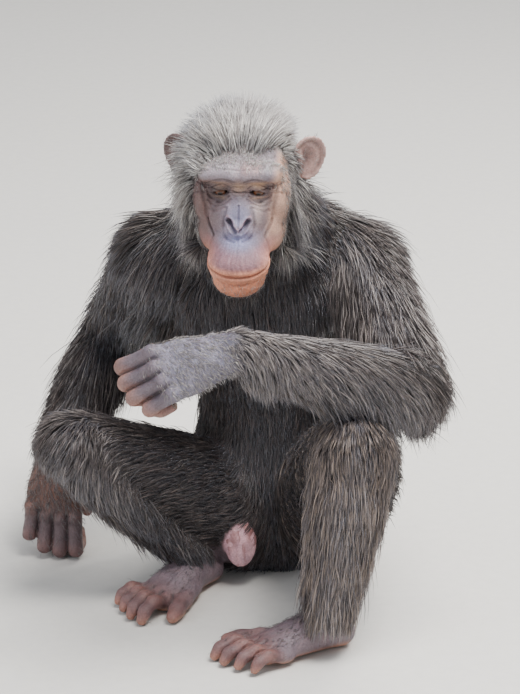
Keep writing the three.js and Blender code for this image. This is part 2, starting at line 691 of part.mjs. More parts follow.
// The builders, each of a swell that grows the piece for cutting its neighbours.
const pieces = {
  eye_left: (swell) => eyeball(1, swell),
  eye_right: (swell) => eyeball(-1, swell),
  rump_skin: (swell) => ball(rumpSkin.at, rumpSkin.radii, { swell, segments: [8, 6] }),
  head,
  ear_left: (swell) => ear(1, swell),
  ear_right: (swell) => ear(-1, swell),
  chest: (swell) => torso.solid(swell).intersect(layer(torsoCut.chest + gap / 2 - swell, farCorner)),
  abdomen: (swell) => torso.solid(swell)
    .intersect(layer(torsoCut.belly + gap / 2 - swell, torsoCut.chest - gap / 2 + swell)),
  pelvis: (swell) => torso.solid(swell).intersect(layer(-floorSink, torsoCut.belly - gap / 2 + swell)),
  neck: (swell) => neck.solid(swell),
  upper_arm_left: (swell) => upperArmLeft.solid(swell),
  forearm_left: (swell) => forearmLeft.solid(swell),
  hand_left: (swell) => hand(handLeft, swell),
  upper_arm_right: (swell) => upperArmRight.solid(swell),
  forearm_right: (swell) => forearmRight.solid(swell),
  hand_right: (swell) => hand(handRight, swell),
  thigh_left: (swell) => thighLeft.solid(swell),
  shin_left: (swell) => shinLeft.solid(swell),
  foot_left: (swell) => foot(footLeft, swell),
  thigh_right: (swell) => thighRight.solid(swell),
  shin_right: (swell) => shinRight.solid(swell),
  foot_right: (swell) => foot(footRight, swell),
};

const colour = { coat: 0x2b2523, face: 0xa8745c, bare: 0x6d5650, eye: 0x4a2c17, pink: 0xc98d84 };
const finish = (name) => {
  if (name === "rump_skin") return { color: colour.pink, roughness: 0.6 };
  if (name.startsWith("eye")) return { color: colour.eye, roughness: 0.15 };
  if (/^(head|ear)/.test(name)) return { color: colour.face, roughness: 0.7 };
  if (/^(hand|foot)/.test(name)) return { color: colour.bare, roughness: 0.7 };
  return { color: colour.coat, roughness: 0.9 };
};

const apart = (one, other) => {
  const a = one.boundingBox();
  const b = other.boundingBox();
  return [0, 1, 2].some((i) => b.min[i] > a.max[i] || b.max[i] < a.min[i]);
};
const cutBy = (solid, others) => others.reduce(
  (rest, other) => (apart(rest, other) ? rest : rest.subtract(other)), solid);

// Each body gives way to those before it, so that they meet face to face with the gap between them.
const bodies = {};
const grownBodies = {};
for (const [name, build] of Object.entries(pieces)) {
  bodies[name] = largest(cutBy(build(0).subtract(floorBlock), Object.values(grownBodies)));
  grownBodies[name] = build(gap);
}

// Then each coat gives way to the other bodies and to the coats before it.
const chimpanzee = new THREE.Group();
const grownCoats = [];
for (const name of Object.keys(pieces)) {
  let solid = bodies[name];
  const locks = locksOf(name, 0);
  if (locks.length) {
    const others = Object.keys(pieces).filter((other) => other !== name).map((other) => grownBodies[other]);
    const coat = cutBy(cutBy(join(locks).subtract(floorBlock), others), grownCoats);
    solid = largest(solid.add(coat));
    grownCoats.push(join(locksOf(name, coatGap)));
  }
  const mesh = new THREE.Mesh(
    toGeometry(solid),
    new THREE.MeshStandardMaterial({ metalness: 0, ...finish(name) }),
  );
  mesh.name = name;
  chimpanzee.add(mesh);
}

export default chimpanzee;
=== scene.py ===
# The looks of a life-size chimpanzee that sits on the floor. Metres, +Z up, facing -Y.
# Left and right are the animal's own.
# Shapes are worked out in millimetres, and made metres as they become meshes.
import math
import bpy
import numpy as np
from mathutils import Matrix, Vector
from mathutils.kdtree import KDTree


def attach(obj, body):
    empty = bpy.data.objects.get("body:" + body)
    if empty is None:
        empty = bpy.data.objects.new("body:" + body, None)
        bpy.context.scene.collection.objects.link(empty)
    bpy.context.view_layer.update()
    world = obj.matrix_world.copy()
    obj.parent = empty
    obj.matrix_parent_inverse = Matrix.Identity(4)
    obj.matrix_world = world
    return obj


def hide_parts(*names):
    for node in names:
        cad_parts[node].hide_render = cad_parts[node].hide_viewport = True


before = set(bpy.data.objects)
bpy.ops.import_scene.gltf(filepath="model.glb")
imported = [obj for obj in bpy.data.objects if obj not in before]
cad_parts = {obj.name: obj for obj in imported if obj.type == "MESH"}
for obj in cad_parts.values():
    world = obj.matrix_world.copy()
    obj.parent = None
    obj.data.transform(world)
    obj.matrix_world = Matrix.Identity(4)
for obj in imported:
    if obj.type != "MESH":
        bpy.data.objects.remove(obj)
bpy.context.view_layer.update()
print("frame loaded")

mm = 0.001
down = np.array([0.0, 0.0, -1.0])


def vec(x, y, z):
    return np.array([x, y, z], float)


def unit(v):
    v = np.asarray(v, float)
    return v / np.maximum(np.linalg.norm(v, axis=-1, keepdims=True), 1e-9)


def step(low, high, x):  # 0 below low, 1 above high, smooth between
    t = np.clip((x - low) / (high - low), 0, 1)
    return t * t * (3 - 2 * t)


def fall(low, high, x):  # 1 below low, 0 above high
    return 1 - step(low, high, x)


def hump(x, middle, half):  # 1 at the middle, falling off over half a width
    return np.exp(-(((x - middle) / half) ** 2))


def around(p, at, reach):  # 1 at a place, falling off over a reach
    return np.exp(-(np.linalg.norm(p - at, axis=-1) / reach) ** 2)


def mix(a, b, share):
    return a + (b - a) * share


def srgb(r, g, b):  # a colour as seen on a screen, 0 to 255, made linear
    c = np.array([r, g, b]) / 255
    return np.where(c < 0.04045, c / 12.92, ((c + 0.055) / 1.055) ** 2.4)


def activate(piece):
    bpy.ops.object.select_all(action="DESELECT")
    piece.select_set(True)
    bpy.context.view_layer.objects.active = piece


def joinPieces(pieces, name):
    activate(pieces[0])
    for piece in pieces:
        piece.select_set(True)
    bpy.ops.object.join()
    joined = bpy.context.object
    joined.name = name
    return joined


def shadeSmooth(piece):
    piece.data.polygons.foreach_set("use_smooth", [True] * len(piece.data.polygons))


def meshPiece(name, points, faces):  # points in millimetres
    mesh = bpy.data.meshes.new(name)
    mesh.from_pydata((np.asarray(points) * mm).tolist(), [], [list(f) for f in faces])
    piece = bpy.data.objects.new(name, mesh)
    bpy.context.collection.objects.link(piece)
    return piece


def applyModifier(piece, kind, **settings):
    activate(piece)
    modifier = piece.modifiers.new(kind.lower(), kind)
    for key, value in settings.items():
        setattr(modifier, key, value)
    bpy.ops.object.modifier_apply(modifier=modifier.name)


def getPoints(mesh):
    co = np.zeros(len(mesh.vertices) * 3, np.float32)
    mesh.vertices.foreach_get("co", co)
    return co.reshape(-1, 3).astype(float) / mm


def setPoints(mesh, points):
    mesh.vertices.foreach_set("co", (points * mm).astype(np.float32).ravel())
    mesh.update()


def getNormals(mesh):
    n = np.zeros(len(mesh.vertices) * 3, np.float32)
    mesh.vertices.foreach_get("normal", n)
    return n.reshape(-1, 3).astype(float)


def setColours(mesh, name, colour, alpha=1.0):
    rgba = np.empty((len(mesh.vertices), 4), np.float32)
    rgba[:, :3] = colour
    rgba[:, 3] = alpha
    mesh.color_attributes.new(name, "FLOAT_COLOR", "POINT").data.foreach_set("color", rgba.ravel())


def groupVertices(piece, name, chosen):
    piece.vertex_groups.new(name=name).add(np.nonzero(chosen)[0].tolist(), 1.0, "REPLACE")


def nearestOf(points, targets):  # which of the points is nearest, for each target
    tree = KDTree(len(points))
    for i, point in enumerate(points):
        tree.insert(point, i)
    tree.balance()
    return np.array([tree.find(target)[1] for target in targets])


def spline(rows, count):  # a smooth line through rows of numbers
    p = np.asarray(rows, float)
    p = np.vstack([2 * p[0] - p[1], p, 2 * p[-1] - p[-2]])
    t = np.linspace(0, len(p) - 3, count)
    i = np.minimum(t.astype(int), len(p) - 4)
    f = (t - i)[:, None]
    a, b, c, d = p[i], p[i + 1], p[i + 2], p[i + 3]
    return b + 0.5 * f * (c - a + f * (2 * a - 5 * b + 4 * c - d + f * (3 * (b - c) + d - a)))


# Limbs: an elliptical section along a smooth line, from rows of centre, half width and half depth
def makeLimb(stations, across, count=32):
    rows = spline([[*at, wide, deep] for at, wide, deep in stations], count)
    centre = rows[:, :3]
    along = unit(np.gradient(centre, axis=0))
    across = np.asarray(across, float)
    wide = unit(across - (along @ across)[:, None] * along)
    deep = np.cross(along, wide)
    return {"centre": centre, "along": along, "wide": wide, "deep": deep, "size": rows[:, 3:]}


endCap = (0.22, 0.43, 0.64, 0.83, 0.96)  # where a limb's rounded end is cut, as shares of its depth


def limbPiece(name, limb, sides=28):
    angle = np.linspace(0, 2 * math.pi, sides, endpoint=False)
    last = len(limb["centre"]) - 1
    depth = limb["size"].min(axis=1)
    slices = [(0, -s) for s in endCap[::-1]]
    slices += [(i, 0) for i in range(last + 1)] + [(last, s) for s in endCap]
    rings = []
    for i, s in slices:
        centre = limb["centre"][i] + limb["along"][i] * s * depth[i]
        half = limb["size"][i] * math.sqrt(1 - s * s)
        rings.append(centre + np.outer(np.cos(angle) * half[0], limb["wide"][i])
                     + np.outer(np.sin(angle) * half[1], limb["deep"][i]))
    faces = []
    for r in range(len(rings) - 1):
        for k in range(sides):
            n = (k + 1) % sides
            faces.append((r * sides + k, r * sides + n, (r + 1) * sides + n, (r + 1) * sides + k))
    faces.append(tuple(range(sides))[::-1])
    faces.append(tuple((len(rings) - 1) * sides + k for k in range(sides)))
    return meshPiece(name, np.vstack(rings), faces)


def ball(name, at=(0, 0, 0), radii=(1, 1, 1), axes=None, segments=32):
    bpy.ops.mesh.primitive_uv_sphere_add(segments=segments, ring_count=segments // 2, radius=1)
    piece = bpy.context.object
    piece.name = name
    points = getPoints(piece.data) * mm * np.asarray(radii)
    if axes is not None:
        points = points @ np.asarray(axes)
    setPoints(piece.data, points + np.asarray(at))
    return piece


# Where the joints lie in the pose
joint = {
    "seat": vec(38, 8, 0),
    "hipLeft": vec(122, -45, 112), "kneeLeft": vec(152, -326, 298), "ankleLeft": vec(116, -345, 62),
    "hipRight": vec(-28, -45, 108), "kneeRight": vec(-240, -160, 236), "ankleRight": vec(-80, -118, 60),
    "shoulderLeft": vec(158, -30, 470), "elbowLeft": vec(232, -280, 368), "wristLeft": vec(-14, -376, 456),
    "shoulderRight": vec(-118, -10, 474), "elbowRight": vec(-192, 192, 290), "wristRight": vec(-276, 12, 170),
    "eyes": vec(-6, -240, 643),
}


def between(a, b, share):
    return mix(joint[a], joint[b], share)


def limbBetween(a, b, rows, across):  # rows of share, half width and half depth
    return makeLimb([(between(a, b, share), wide, deep) for share, wide, deep in rows], across)


limbs = {
    "torso": makeLimb([
        (vec(38, 18, 12), 98, 82), (vec(38, 16, 70), 120, 96), (vec(40, 16, 140), 116, 98),
        (vec(42, 20, 220), 108, 100), (vec(40, 18, 300), 114, 108), (vec(32, 2, 390), 132, 112),
        (vec(24, -20, 470), 134, 100), (vec(14, -54, 532), 96, 76)], (1, 0, 0), 48),
    "neck": makeLimb([
        (vec(14, -52, 505), 92, 74), (vec(8, -92, 556), 80, 70), (vec(3, -128, 592), 68, 62)], (1, 0, 0)),
    "upperArmLeft": limbBetween("shoulderLeft", "elbowLeft", [
        (0, 64, 60), (0.4, 58, 52), (0.8, 48, 44), (1, 42, 40)], (0, 0, 1)),
    "forearmLeft": limbBetween("elbowLeft", "wristLeft", [
        (0.02, 40, 40), (0.28, 45, 41), (0.6, 40, 35), (1, 32, 23)], (0, 0, 1)),
    "upperArmRight": limbBetween("shoulderRight", "elbowRight", [
        (0, 64, 62), (0.45, 52, 56), (0.8, 45, 48), (1, 40, 42)], (1, 0, 0)),
    "forearmRight": limbBetween("elbowRight", "wristRight", [
        (0.02, 40, 40), (0.35, 41, 44), (0.7, 32, 37), (1, 26, 32)], (0, 1, 0)),
    "thighLeft": makeLimb([
        (between("hipLeft", "seat", 0.15), 78, 82), (between("hipLeft", "kneeLeft", 0.2), 78, 84),
        (between("hipLeft", "kneeLeft", 0.6), 70, 72), (joint["kneeLeft"], 55, 52)], (1, 0, 0)),
    "shinLeft": limbBetween("kneeLeft", "ankleLeft", [
        (0.02, 52, 48), (0.3, 54, 56), (0.65, 44, 45), (0.98, 31, 33)], (1, 0, 0)),
    "thighRight": makeLimb([
        (between("hipRight", "seat", 0.2), 80, 78), (between("hipRight", "kneeRight", 0.25), 76, 74),
        (between("hipRight", "kneeRight", 0.6), 64, 62), (joint["kneeRight"], 48, 48)], (0, 0, 1)),
    "shinRight": limbBetween("kneeRight", "ankleRight", [
        (0.02, 46, 46), (0.3, 50, 46), (0.65, 39, 37), (0.98, 31, 27)], (0, 1, 0)),
}
flesh = [limbPiece(name, limb) for name, limb in limbs.items()]
print("limbs made")

# Hands and feet. Along runs down the bones, across from the thumb's side to the little finger's.
digitTaper = (1.08, 0.98, 1.06, 0.92, 1.0, 0.9, 0.74)


def turnAbout(v, axis, angle):
    turned = v * math.cos(angle) + np.cross(axis, v) * math.sin(angle)
    return turned + axis * (axis @ v) * (1 - math.cos(angle))


def digit(name, root, along, palm, lengths, bends, radius):
    axis = unit(np.cross(along, palm))
    points = [root - along * radius * 1.3, root]
    direction = along
    for length, bend in zip(lengths, bends):
        direction = turnAbout(direction, axis, math.radians(bend))
        points.append(points[-1] + direction * length)
    middles = [points[0]]
    for a, b in zip(points[1:], points[2:]):
        middles += [a, (a + b) / 2]
    middles.append(points[-1])
    stations = [(at, radius * s, radius * s * 0.94) for at, s in zip(middles, (1.0, *digitTaper))]
    limb = makeLimb(stations, axis, 30)
    flesh.append(limbPiece(name, limb, 16))
    back = unit(np.cross(axis, direction))
    tip = points[-1] + direction * radius * 0.1
    return {"tip": tip, "along": direction, "across": axis, "back": back, "line": points,
            "radius": radius * digitTaper[-1]}


handSize = {
    "palm": 106, "halfWidth": 41, "spacing": 21, "reach": (1, 1.01, 0.97, 0.88),
    "fingers": ((49, 36, 20), (51, 40, 21), (51, 38, 21), (44, 30, 18)), "radius": 11.2,
    "thumb": (38, 28, 18), "thumbBends": (0, 15, 15), "thumbRadius": 10.3, "knuckle": 12.5,
}


def hand(name, wrist, along, across, palmSide, bends, thumbAside, thumbInward):
    along, across = unit(along), unit(across)
    palm = unit(np.cross(across, along)) * palmSide
    size = handSize

    def reach(share):
        return wrist + along * size["palm"] * share

    flesh.append(limbPiece(name + "Palm", makeLimb([
        (reach(-0.12), 29, 20), (reach(0.25), 32, 20), (reach(0.62), size["halfWidth"], 18),
        (reach(0.92), size["halfWidth"] - 1, 14)], across)))
    digits = []
    for i, lengths in enumerate(size["fingers"]):
        root = reach(size["reach"][i]) + across * (i - 1.5) * size["spacing"]
        spread = unit(along + across * (i - 1.5) * 0.05)
        digits.append(digit(f"{name}Finger{i}", root, spread, palm, lengths, bends, size["radius"] - 0.4 * i))
        flesh.append(ball(f"{name}Knuckle{i}", root - palm * 2.5, [size["knuckle"]] * 3))
    thumbRoot = reach(0.3) - across * 26 + palm * 12
    thumbAlong = unit(along + across * thumbAside + palm * thumbInward)
    digits.append(digit(name + "Thumb", thumbRoot, thumbAlong, palm, size["thumb"], size["thumbBends"],
                        size["thumbRadius"]))
    return {"wrist": wrist, "along": along, "across": across, "palm": palm, "digits": digits}


handLeft = hand("handLeft", joint["wristLeft"], (-0.95, -0.2, -0.23), (0.3, -0.58, -0.75), palmSide=1,
                bends=(35, 88, 50), thumbAside=0.1, thumbInward=0.5)
handRight = hand("handRight", joint["wristRight"], (-0.06, -0.16, -0.97), (-1, 0.1, 0.05), palmSide=-1,
                 bends=(4, 88, 60), thumbAside=-0.25, thumbInward=0.2)

footSize = {
    "length": 128, "toes": ((30, 22, 14), (32, 23, 14), (30, 21, 13), (26, 18, 12)), "radius": 10.5,
    "spacing": 17.5, "toeBends": (-22, 40, 34),
    "hallux": (34, 28, 20), "halluxRadius": 13, "halluxBends": (0, 4, 6),
}


def foot(name, heel, along, across, ankle, halluxAside):
    along, across = unit(along), unit(across)
    size = footSize

    def reach(share, height):
        at = heel + along * size["length"] * share
        return vec(at[0], at[1], height)

    flesh.append(limbPiece(name + "Sole", makeLimb([
        (reach(0.02, 22), 23, 22), (reach(0.3, 29), 28, 29),
        (reach(0.62, 23), 34, 23), (reach(0.98, 14), 37, 14)], across)))
    ankleTop = ankle + vec(0, 0, 10)
    flesh.append(limbPiece(name + "Ankle", makeLimb([
        (ankleTop, 29, 30), (mix(ankleTop, reach(0.22, 30), 0.5), 27, 28),
        (reach(0.24, 30), 27, 29)], along)))
    for side in (-1, 1):
        flesh.append(ball(f"{name}Malleolus{side}", ankle + across * side * 21 - vec(0, 0, 16), (11, 11, 12)))
    digits = []
    for i, lengths in enumerate(size["toes"]):
        root = reach(0.98 - 0.05 * i, 15) + across * (i - 1.1) * size["spacing"]
        spread = unit(along + across * (i - 1) * 0.1)
        digits.append(digit(f"{name}Toe{i}", root, spread, down, lengths, size["toeBends"],
                            size["radius"] - 0.5 * i))
    halluxRoot = reach(0.58, 16) - across * 25
    halluxAlong = unit(along - across * halluxAside)
    digits.append(digit(name + "Hallux", halluxRoot, halluxAlong, down, size["hallux"], size["halluxBends"],
                        size["halluxRadius"]))
    return {"heel": heel, "along": along, "across": across, "digits": digits}


footLeft = foot("footLeft", vec(134, -312, 0), (-165, -78, 0), (78, -165, 0), joint["ankleLeft"],
                halluxAside=0.5)
footRight = foot("footRight", vec(-52, -92, 0), (-62, -78, 0), (-78, 62, 0), joint["ankleRight"],
                 halluxAside=0.4)
handsAndFeet = (handLeft, handRight, footLeft, footRight)
print("hands and feet made")

# The head's own frame: the origin is between the ears, -Y is forward and +X is the animal's left
headTilt = {"pitch": 12, "yaw": -4}
eye = {"side": 26, "front": -66, "height": 20, "radius": 12.3, "lid": 15.6}


def turnMatrix(pitch, yaw):
    p, y = math.radians(pitch), math.radians(yaw)
    about = np.array([[math.cos(y), -math.sin(y), 0], [math.sin(y), math.cos(y), 0], [0, 0, 1]])
    nod = np.array([[1, 0, 0], [0, math.cos(p), -math.sin(p)], [0, math.sin(p), math.cos(p)]])
    return about @ nod


headTurn = turnMatrix(**headTilt)
headOrigin = joint["eyes"] - headTurn @ vec(0, eye["front"], eye["height"])


def toWorld(p):
    return np.asarray(p, float) @ headTurn.T + headOrigin


def toHead(p):
    return (np.asarray(p, float) - headOrigin) @ headTurn


def bothSides(blobs):
    out = []
    for at, radii, blend in blobs:
        out += [(at, radii, blend), ((-at[0], at[1], at[2]), radii, blend)]
    return out


# The head's flesh as ellipsoids that melt into each other: centre, radii, blend
headFlesh = [
    ((0, 6, 20), (66, 78, 55), 1), ((0, 34, -14), (52, 40, 40), 14), ((0, -34, 8), (58, 40, 46), 14),
    ((0, -70, -20), (40, 34, 40), 14), ((0, -86, -58), (42, 44, 34), 12), ((0, -118, -64), (41, 31, 20), 10),
    ((0, -113, -92), (35, 36, 23), 10), ((0, -111, -78), (39, 35, 15), 10),
    ((0, -30, -48), (48, 52, 44), 16), ((0, -66, 44), (28, 15, 13), 14),
    ((0, -66, 20), (15, 10, 22), 12), ((0, -84, -6), (8, 11, 24), 9), ((0, -106, -20), (12, 9, 9), 6),
    *bothSides([
        ((33, -64, 45), (25, 17, 13), 14), ((46, -46, 6), (16, 26, 28), 14),
        ((41, -46, -44), (20, 36, 38), 16), ((52, -50, 2), (13, 24, 30), 14), ((11, -103, -25), (9, 9, 8), 5),
        ((eye["side"], eye["front"], eye["height"]), [eye["lid"]] * 3, 3),
    ]),
]


def outside(p, at, radii):  # how far points lie outside an ellipsoid, nearly
    d = (p - at) / radii
    near = np.linalg.norm(d, axis=-1)
    slope = np.linalg.norm(d / radii, axis=-1)
    return near * (near - 1) / np.maximum(slope, 1e-9)


def melt(a, b, blend):
    h = np.maximum(blend - np.abs(a - b), 0) / blend
    return np.minimum(a, b) - h * h * blend / 4


def headField(p):
    at, radii, blend = headFlesh[0]
    field = outside(p, np.array(at, float), np.array(radii, float))
    for at, radii, blend in headFlesh[1:]:
        field = melt(field, outside(p, np.array(at, float), np.array(radii, float)), blend)
    return field


def headSlope(p, reach=0.5):
    return np.stack([(headField(p + reach * axis) - headField(p - reach * axis)) / (2 * reach)
                     for axis in np.eye(3)], axis=-1)


def onFace(h):  # points moved onto the head's surface
    h = np.array(h, float)
    for _ in range(5):
        slope = headSlope(h)
        h -= (headField(h) / np.maximum((slope ** 2).sum(axis=1), 0.05))[:, None] * slope
    return h


headCentre = vec(0, -50, -28)


def headPiece():
    bpy.ops.mesh.primitive_uv_sphere_add(segments=96, ring_count=72, radius=1)
    piece = bpy.context.object
    piece.name = "headFlesh"
    ray = unit(getPoints(piece.data))
    stride = 2  # from outside the head inwards, until the surface lies within one stride
    high = np.full(len(ray), 210.0)
    searching = np.ones(len(ray), bool)
    for _ in range(100):
        inside = headField(headCentre + ray * (high - stride)[:, None]) < 0
        searching &= ~inside
        high = np.where(searching, high - stride, high)
    low = high - stride
    for _ in range(8):
        middle = (low + high) / 2
        out = headField(headCentre + ray * middle[:, None]) > 0
        high = np.where(out, middle, high)
        low = np.where(out, low, middle)
    setPoints(piece.data, toWorld(headCentre + ray * low[:, None]))
    return piece


# The outer ear is a cupped plate with a rolled rim, a ridge inside it and a deep hollow by its root
earSize = {"at": (89, 12, 26), "turn": 30, "wide": 27, "high": 34, "thick": 3.0, "cup": 9}


def earPiece(side):
    size = earSize
    piece = ball(f"earFlesh{side}", segments=72)
    p = getPoints(piece.data)
    u, v, front = p[:, 0] * side, p[:, 2], -p[:, 1]
    r = np.hypot(u, v)
    top = 1 + 0.06 * v - 0.10 * np.maximum(-v, 0)
    back = size["cup"] * (1 - r * r)
    face = np.where(front > 0, front, 0) ** 0.5
    rim = 2.6 * hump(r, 0.93, 0.10) * step(-0.75, -0.35, u)
    ridge = 3.4 * hump(np.hypot(u + 0.14, v + 0.02), 0.58, 0.11) * step(-0.3, 0.25, u + 0.4 * v)
    hollow = 5.0 * np.exp(-(((u + 0.30) / 0.30) ** 2 + ((v + 0.16) / 0.30) ** 2))
    flap = 4.0 * np.exp(-(((u + 0.72) / 0.14) ** 2 + ((v + 0.20) / 0.2) ** 2))
    w = -back + np.where(front > 0, size["thick"] * face + (rim + ridge + flap - hollow) * face,
                         -size["thick"] * np.sqrt(np.abs(front)) - hollow * 0.6)
    turn = math.radians(size["turn"])
    flat = vec(side * math.cos(turn), math.sin(turn), 0)
    out = vec(side * math.sin(turn), -math.cos(turn), 0)
    at = vec(side * size["at"][0], size["at"][1], size["at"][2])
    local = at + np.outer(u * size["wide"] * top, flat) + np.outer(v * size["high"], vec(0, 0, 1))
    setPoints(piece.data, toWorld(local + np.outer(w, out)))
    return piece


flesh.append(headPiece())
for side in (-1, 1):
    flesh.append(earPiece(side))
    root = toWorld((side * 68, 8, 20))
    flesh.append(ball(f"earRoot{side}", root, (15, 9, 24), headTurn.T))

# Masses that the limbs alone don't give: buttocks, chest, shoulders, back, knees, elbows and the right armpit
masses = [
    ((104, 20, 62), (62, 78, 62)), ((-28, 20, 62), (62, 78, 62)), ((88, -78, 430), (56, 34, 50)),
    ((-36, -82, 430), (54, 32, 50)), ((86, 66, 470), (46, 34, 62)), ((-36, 60, 470), (44, 32, 62)),
    (joint["kneeLeft"] + vec(2, -12, 6), (47, 44, 46)), (joint["kneeRight"] + vec(-8, -8, 8), (44, 44, 44)),
    (joint["elbowLeft"] + vec(2, 8, -6), (38, 40, 40)), (joint["elbowRight"] + vec(0, 8, -4), (34, 36, 36)),
    ((98, -24, 500), (66, 50, 46)), ((-62, -14, 502), (62, 50, 46)), ((20, 26, 492), (100, 52, 62)),
    ((38, 50, 250), (84, 76, 150)), ((38, 42, 120), (104, 84, 110)), ((8, -70, 545), (78, 66, 56)),
    ((-96, 34, 352), (24, 40, 52)),
]
flesh += [ball(f"mass{i}", at, radii) for i, (at, radii) in enumerate(masses)]
pinkSkin = {"at": vec(-7, -112, 68), "radii": vec(24, 16, 38)}
flesh.append(ball("pinkMass", pinkSkin["at"], pinkSkin["radii"] - 1))

# One seamless skin over all of it
skinSize = {"voxel": 3.0, "most": 192000}
skin = joinPieces(flesh, "skin")
applyModifier(skin, "REMESH", mode="VOXEL", voxel_size=skinSize["voxel"] * mm)
print("skin remeshed:", len(skin.data.vertices), "points")


def selectVertices(piece, chosen):
    activate(piece)
    bpy.ops.object.mode_set(mode="EDIT")
    bpy.ops.mesh.select_mode(type="VERT")
    bpy.ops.mesh.select_all(action="DESELECT")
    bpy.ops.object.mode_set(mode="OBJECT")
    piece.data.vertices.foreach_set("select", chosen.astype(bool))
    bpy.ops.object.mode_set(mode="EDIT")
    bpy.ops.mesh.select_mode(type="FACE")


def subdivideWhere(piece, chosen):
    selectVertices(piece, chosen)
    bpy.ops.mesh.subdivide(number_cuts=1, smoothness=0)
    bpy.ops.object.mode_set(mode="OBJECT")


# How bare the skin is: 1 on the face, ears, palms, fingers, soles and toes, 0 under the coat
bareFace = {"middle": -21, "radii": (67, 88), "widerLeft": 9, "temple": 30,
            "behind": (-52, -40), "chinBehind": (-104, -92)}


def faceShare(h):
    across = np.abs(h[:, 0]) / (bareFace["radii"][0] + bareFace["widerLeft"] * (h[:, 0] > 0))
    up = np.abs(h[:, 2] - bareFace["middle"]) / bareFace["radii"][1]
    within = fall(0.93, 1.04, (across ** 3 + up ** 3) ** (1 / 3))
    under = fall(-100, -78, h[:, 2])
    within = np.maximum(within, under * (np.abs(h[:, 0]) < 50))
    near, far = (mix(a, b, under) for a, b in zip(bareFace["behind"], bareFace["chinBehind"]))
    onHead = step(-126, -120, h[:, 2]) * (np.linalg.norm(h, axis=1) < 200)
    temple = bareFace["temple"] * step(0, 36, h[:, 2]) * step(20, 44, h[:, 0])
    near, far = near + temple, far + temple
    return within * onHead * fall(0, 1, (h[:, 1] - near) / (far - near))


def earShare(h):
    x = np.abs(h[:, 0])
    return step(67, 73, x) * step(-26, -10, h[:, 2]) * fall(70, 76, h[:, 2]) * step(-50, -30, h[:, 1])


def handShare(p, hand):
    q = p - hand["wrist"]
    along, across, palm = q @ hand["along"], q @ hand["across"], q @ hand["palm"]
    near = fall(105, 125, np.hypot(across, palm))
    past = step(-20, 16, along - 6 * step(-10, 10, palm))
    return near * past * fall(220, 240, along)


def footShare(p, foot):
    q = p - foot["heel"]
    along, across = q @ foot["along"], q @ foot["across"]
    inside = step(-40, -25, along) * fall(250, 270, along) * fall(85, 100, np.abs(across))
    top = 66 - 4 * step(20, 110, along)
    return inside * fall(top - 14, top + 4, p[:, 2])


def pinkShare(p):
    d = (p - pinkSkin["at"]) / (pinkSkin["radii"] + vec(3, 5, 3))
    return fall(0.86, 1.02, np.linalg.norm(d, axis=-1))


def bareShare(p):
    h = toHead(p)
    nearHead = np.linalg.norm(h, axis=1) < 260
    share = np.where(nearHead, np.maximum(faceShare(h), earShare(h)), 0)
    for each in (handLeft, handRight):
        share = np.maximum(share, handShare(p, each))
    for each in (footLeft, footRight):
        share = np.maximum(share, footShare(p, each))
    return np.maximum(share, pinkShare(p))


groupVertices(skin, "furred", bareShare(getPoints(skin.data)) < 0.02)
applyModifier(skin, "DECIMATE", ratio=0.23, vertex_group="furred", vertex_group_factor=1.0)
applyModifier(skin, "SMOOTH", factor=0.6, iterations=14, vertex_group="furred")
print("skin thinned:", len(skin.data.polygons), "faces")

# Finer faces where the face shows, and finest at the eyes, nose and mouth
h = toHead(getPoints(skin.data))
subdivideWhere(skin, (faceShare(h) > 0.02) & (h[:, 1] < -48) & (h[:, 2] > -114))
h = toHead(getPoints(skin.data))
fine = (h[:, 1] < -60) & (((np.abs(h[:, 2] - 22) < 20) & (np.abs(h[:, 0]) < 48))
                         | ((np.abs(h[:, 2] + 8) < 22) & (np.abs(h[:, 0]) < 24))
                         | ((np.abs(h[:, 2] + 70) < 12) & (np.abs(h[:, 0]) < 48)))
subdivideWhere(skin, fine)


def pathDistance(p, path):  # how far points lie from a line through path
    path = np.asarray(path, float)
    best = np.full(len(p), 1e9)
    for a, b in zip(path, path[1:]):
        t = np.clip((p - a) @ (b - a) / ((b - a) @ (b - a)), 0, 1)
        best = np.minimum(best, np.linalg.norm(p - a - t[:, None] * (b - a), axis=1))
    return best


def offPath(p, path, count):  # how far points lie from a smooth line on the face
    return pathDistance(p, onFace(spline(path, count)))


def crease(p, path, half, depth, lip=0.35):  # a groove along path with slightly raised edges
    d = offPath(p, path, 4 * len(path))
    return -depth * hump(d, 0, half) + lip * depth * hump(d, 2.2 * half, half)


def digitShare(p, part, reach=17):
    share = np.zeros(len(p), bool)
    for each in part["digits"]:
        share |= pathDistance(p, each["line"][1:]) < reach
    return share


points = getPoints(skin.data)
subdivideWhere(skin, np.any([digitShare(points, part) for part in handsAndFeet], axis=0))
applyModifier(skin, "SMOOTH", factor=0.5, iterations=2)

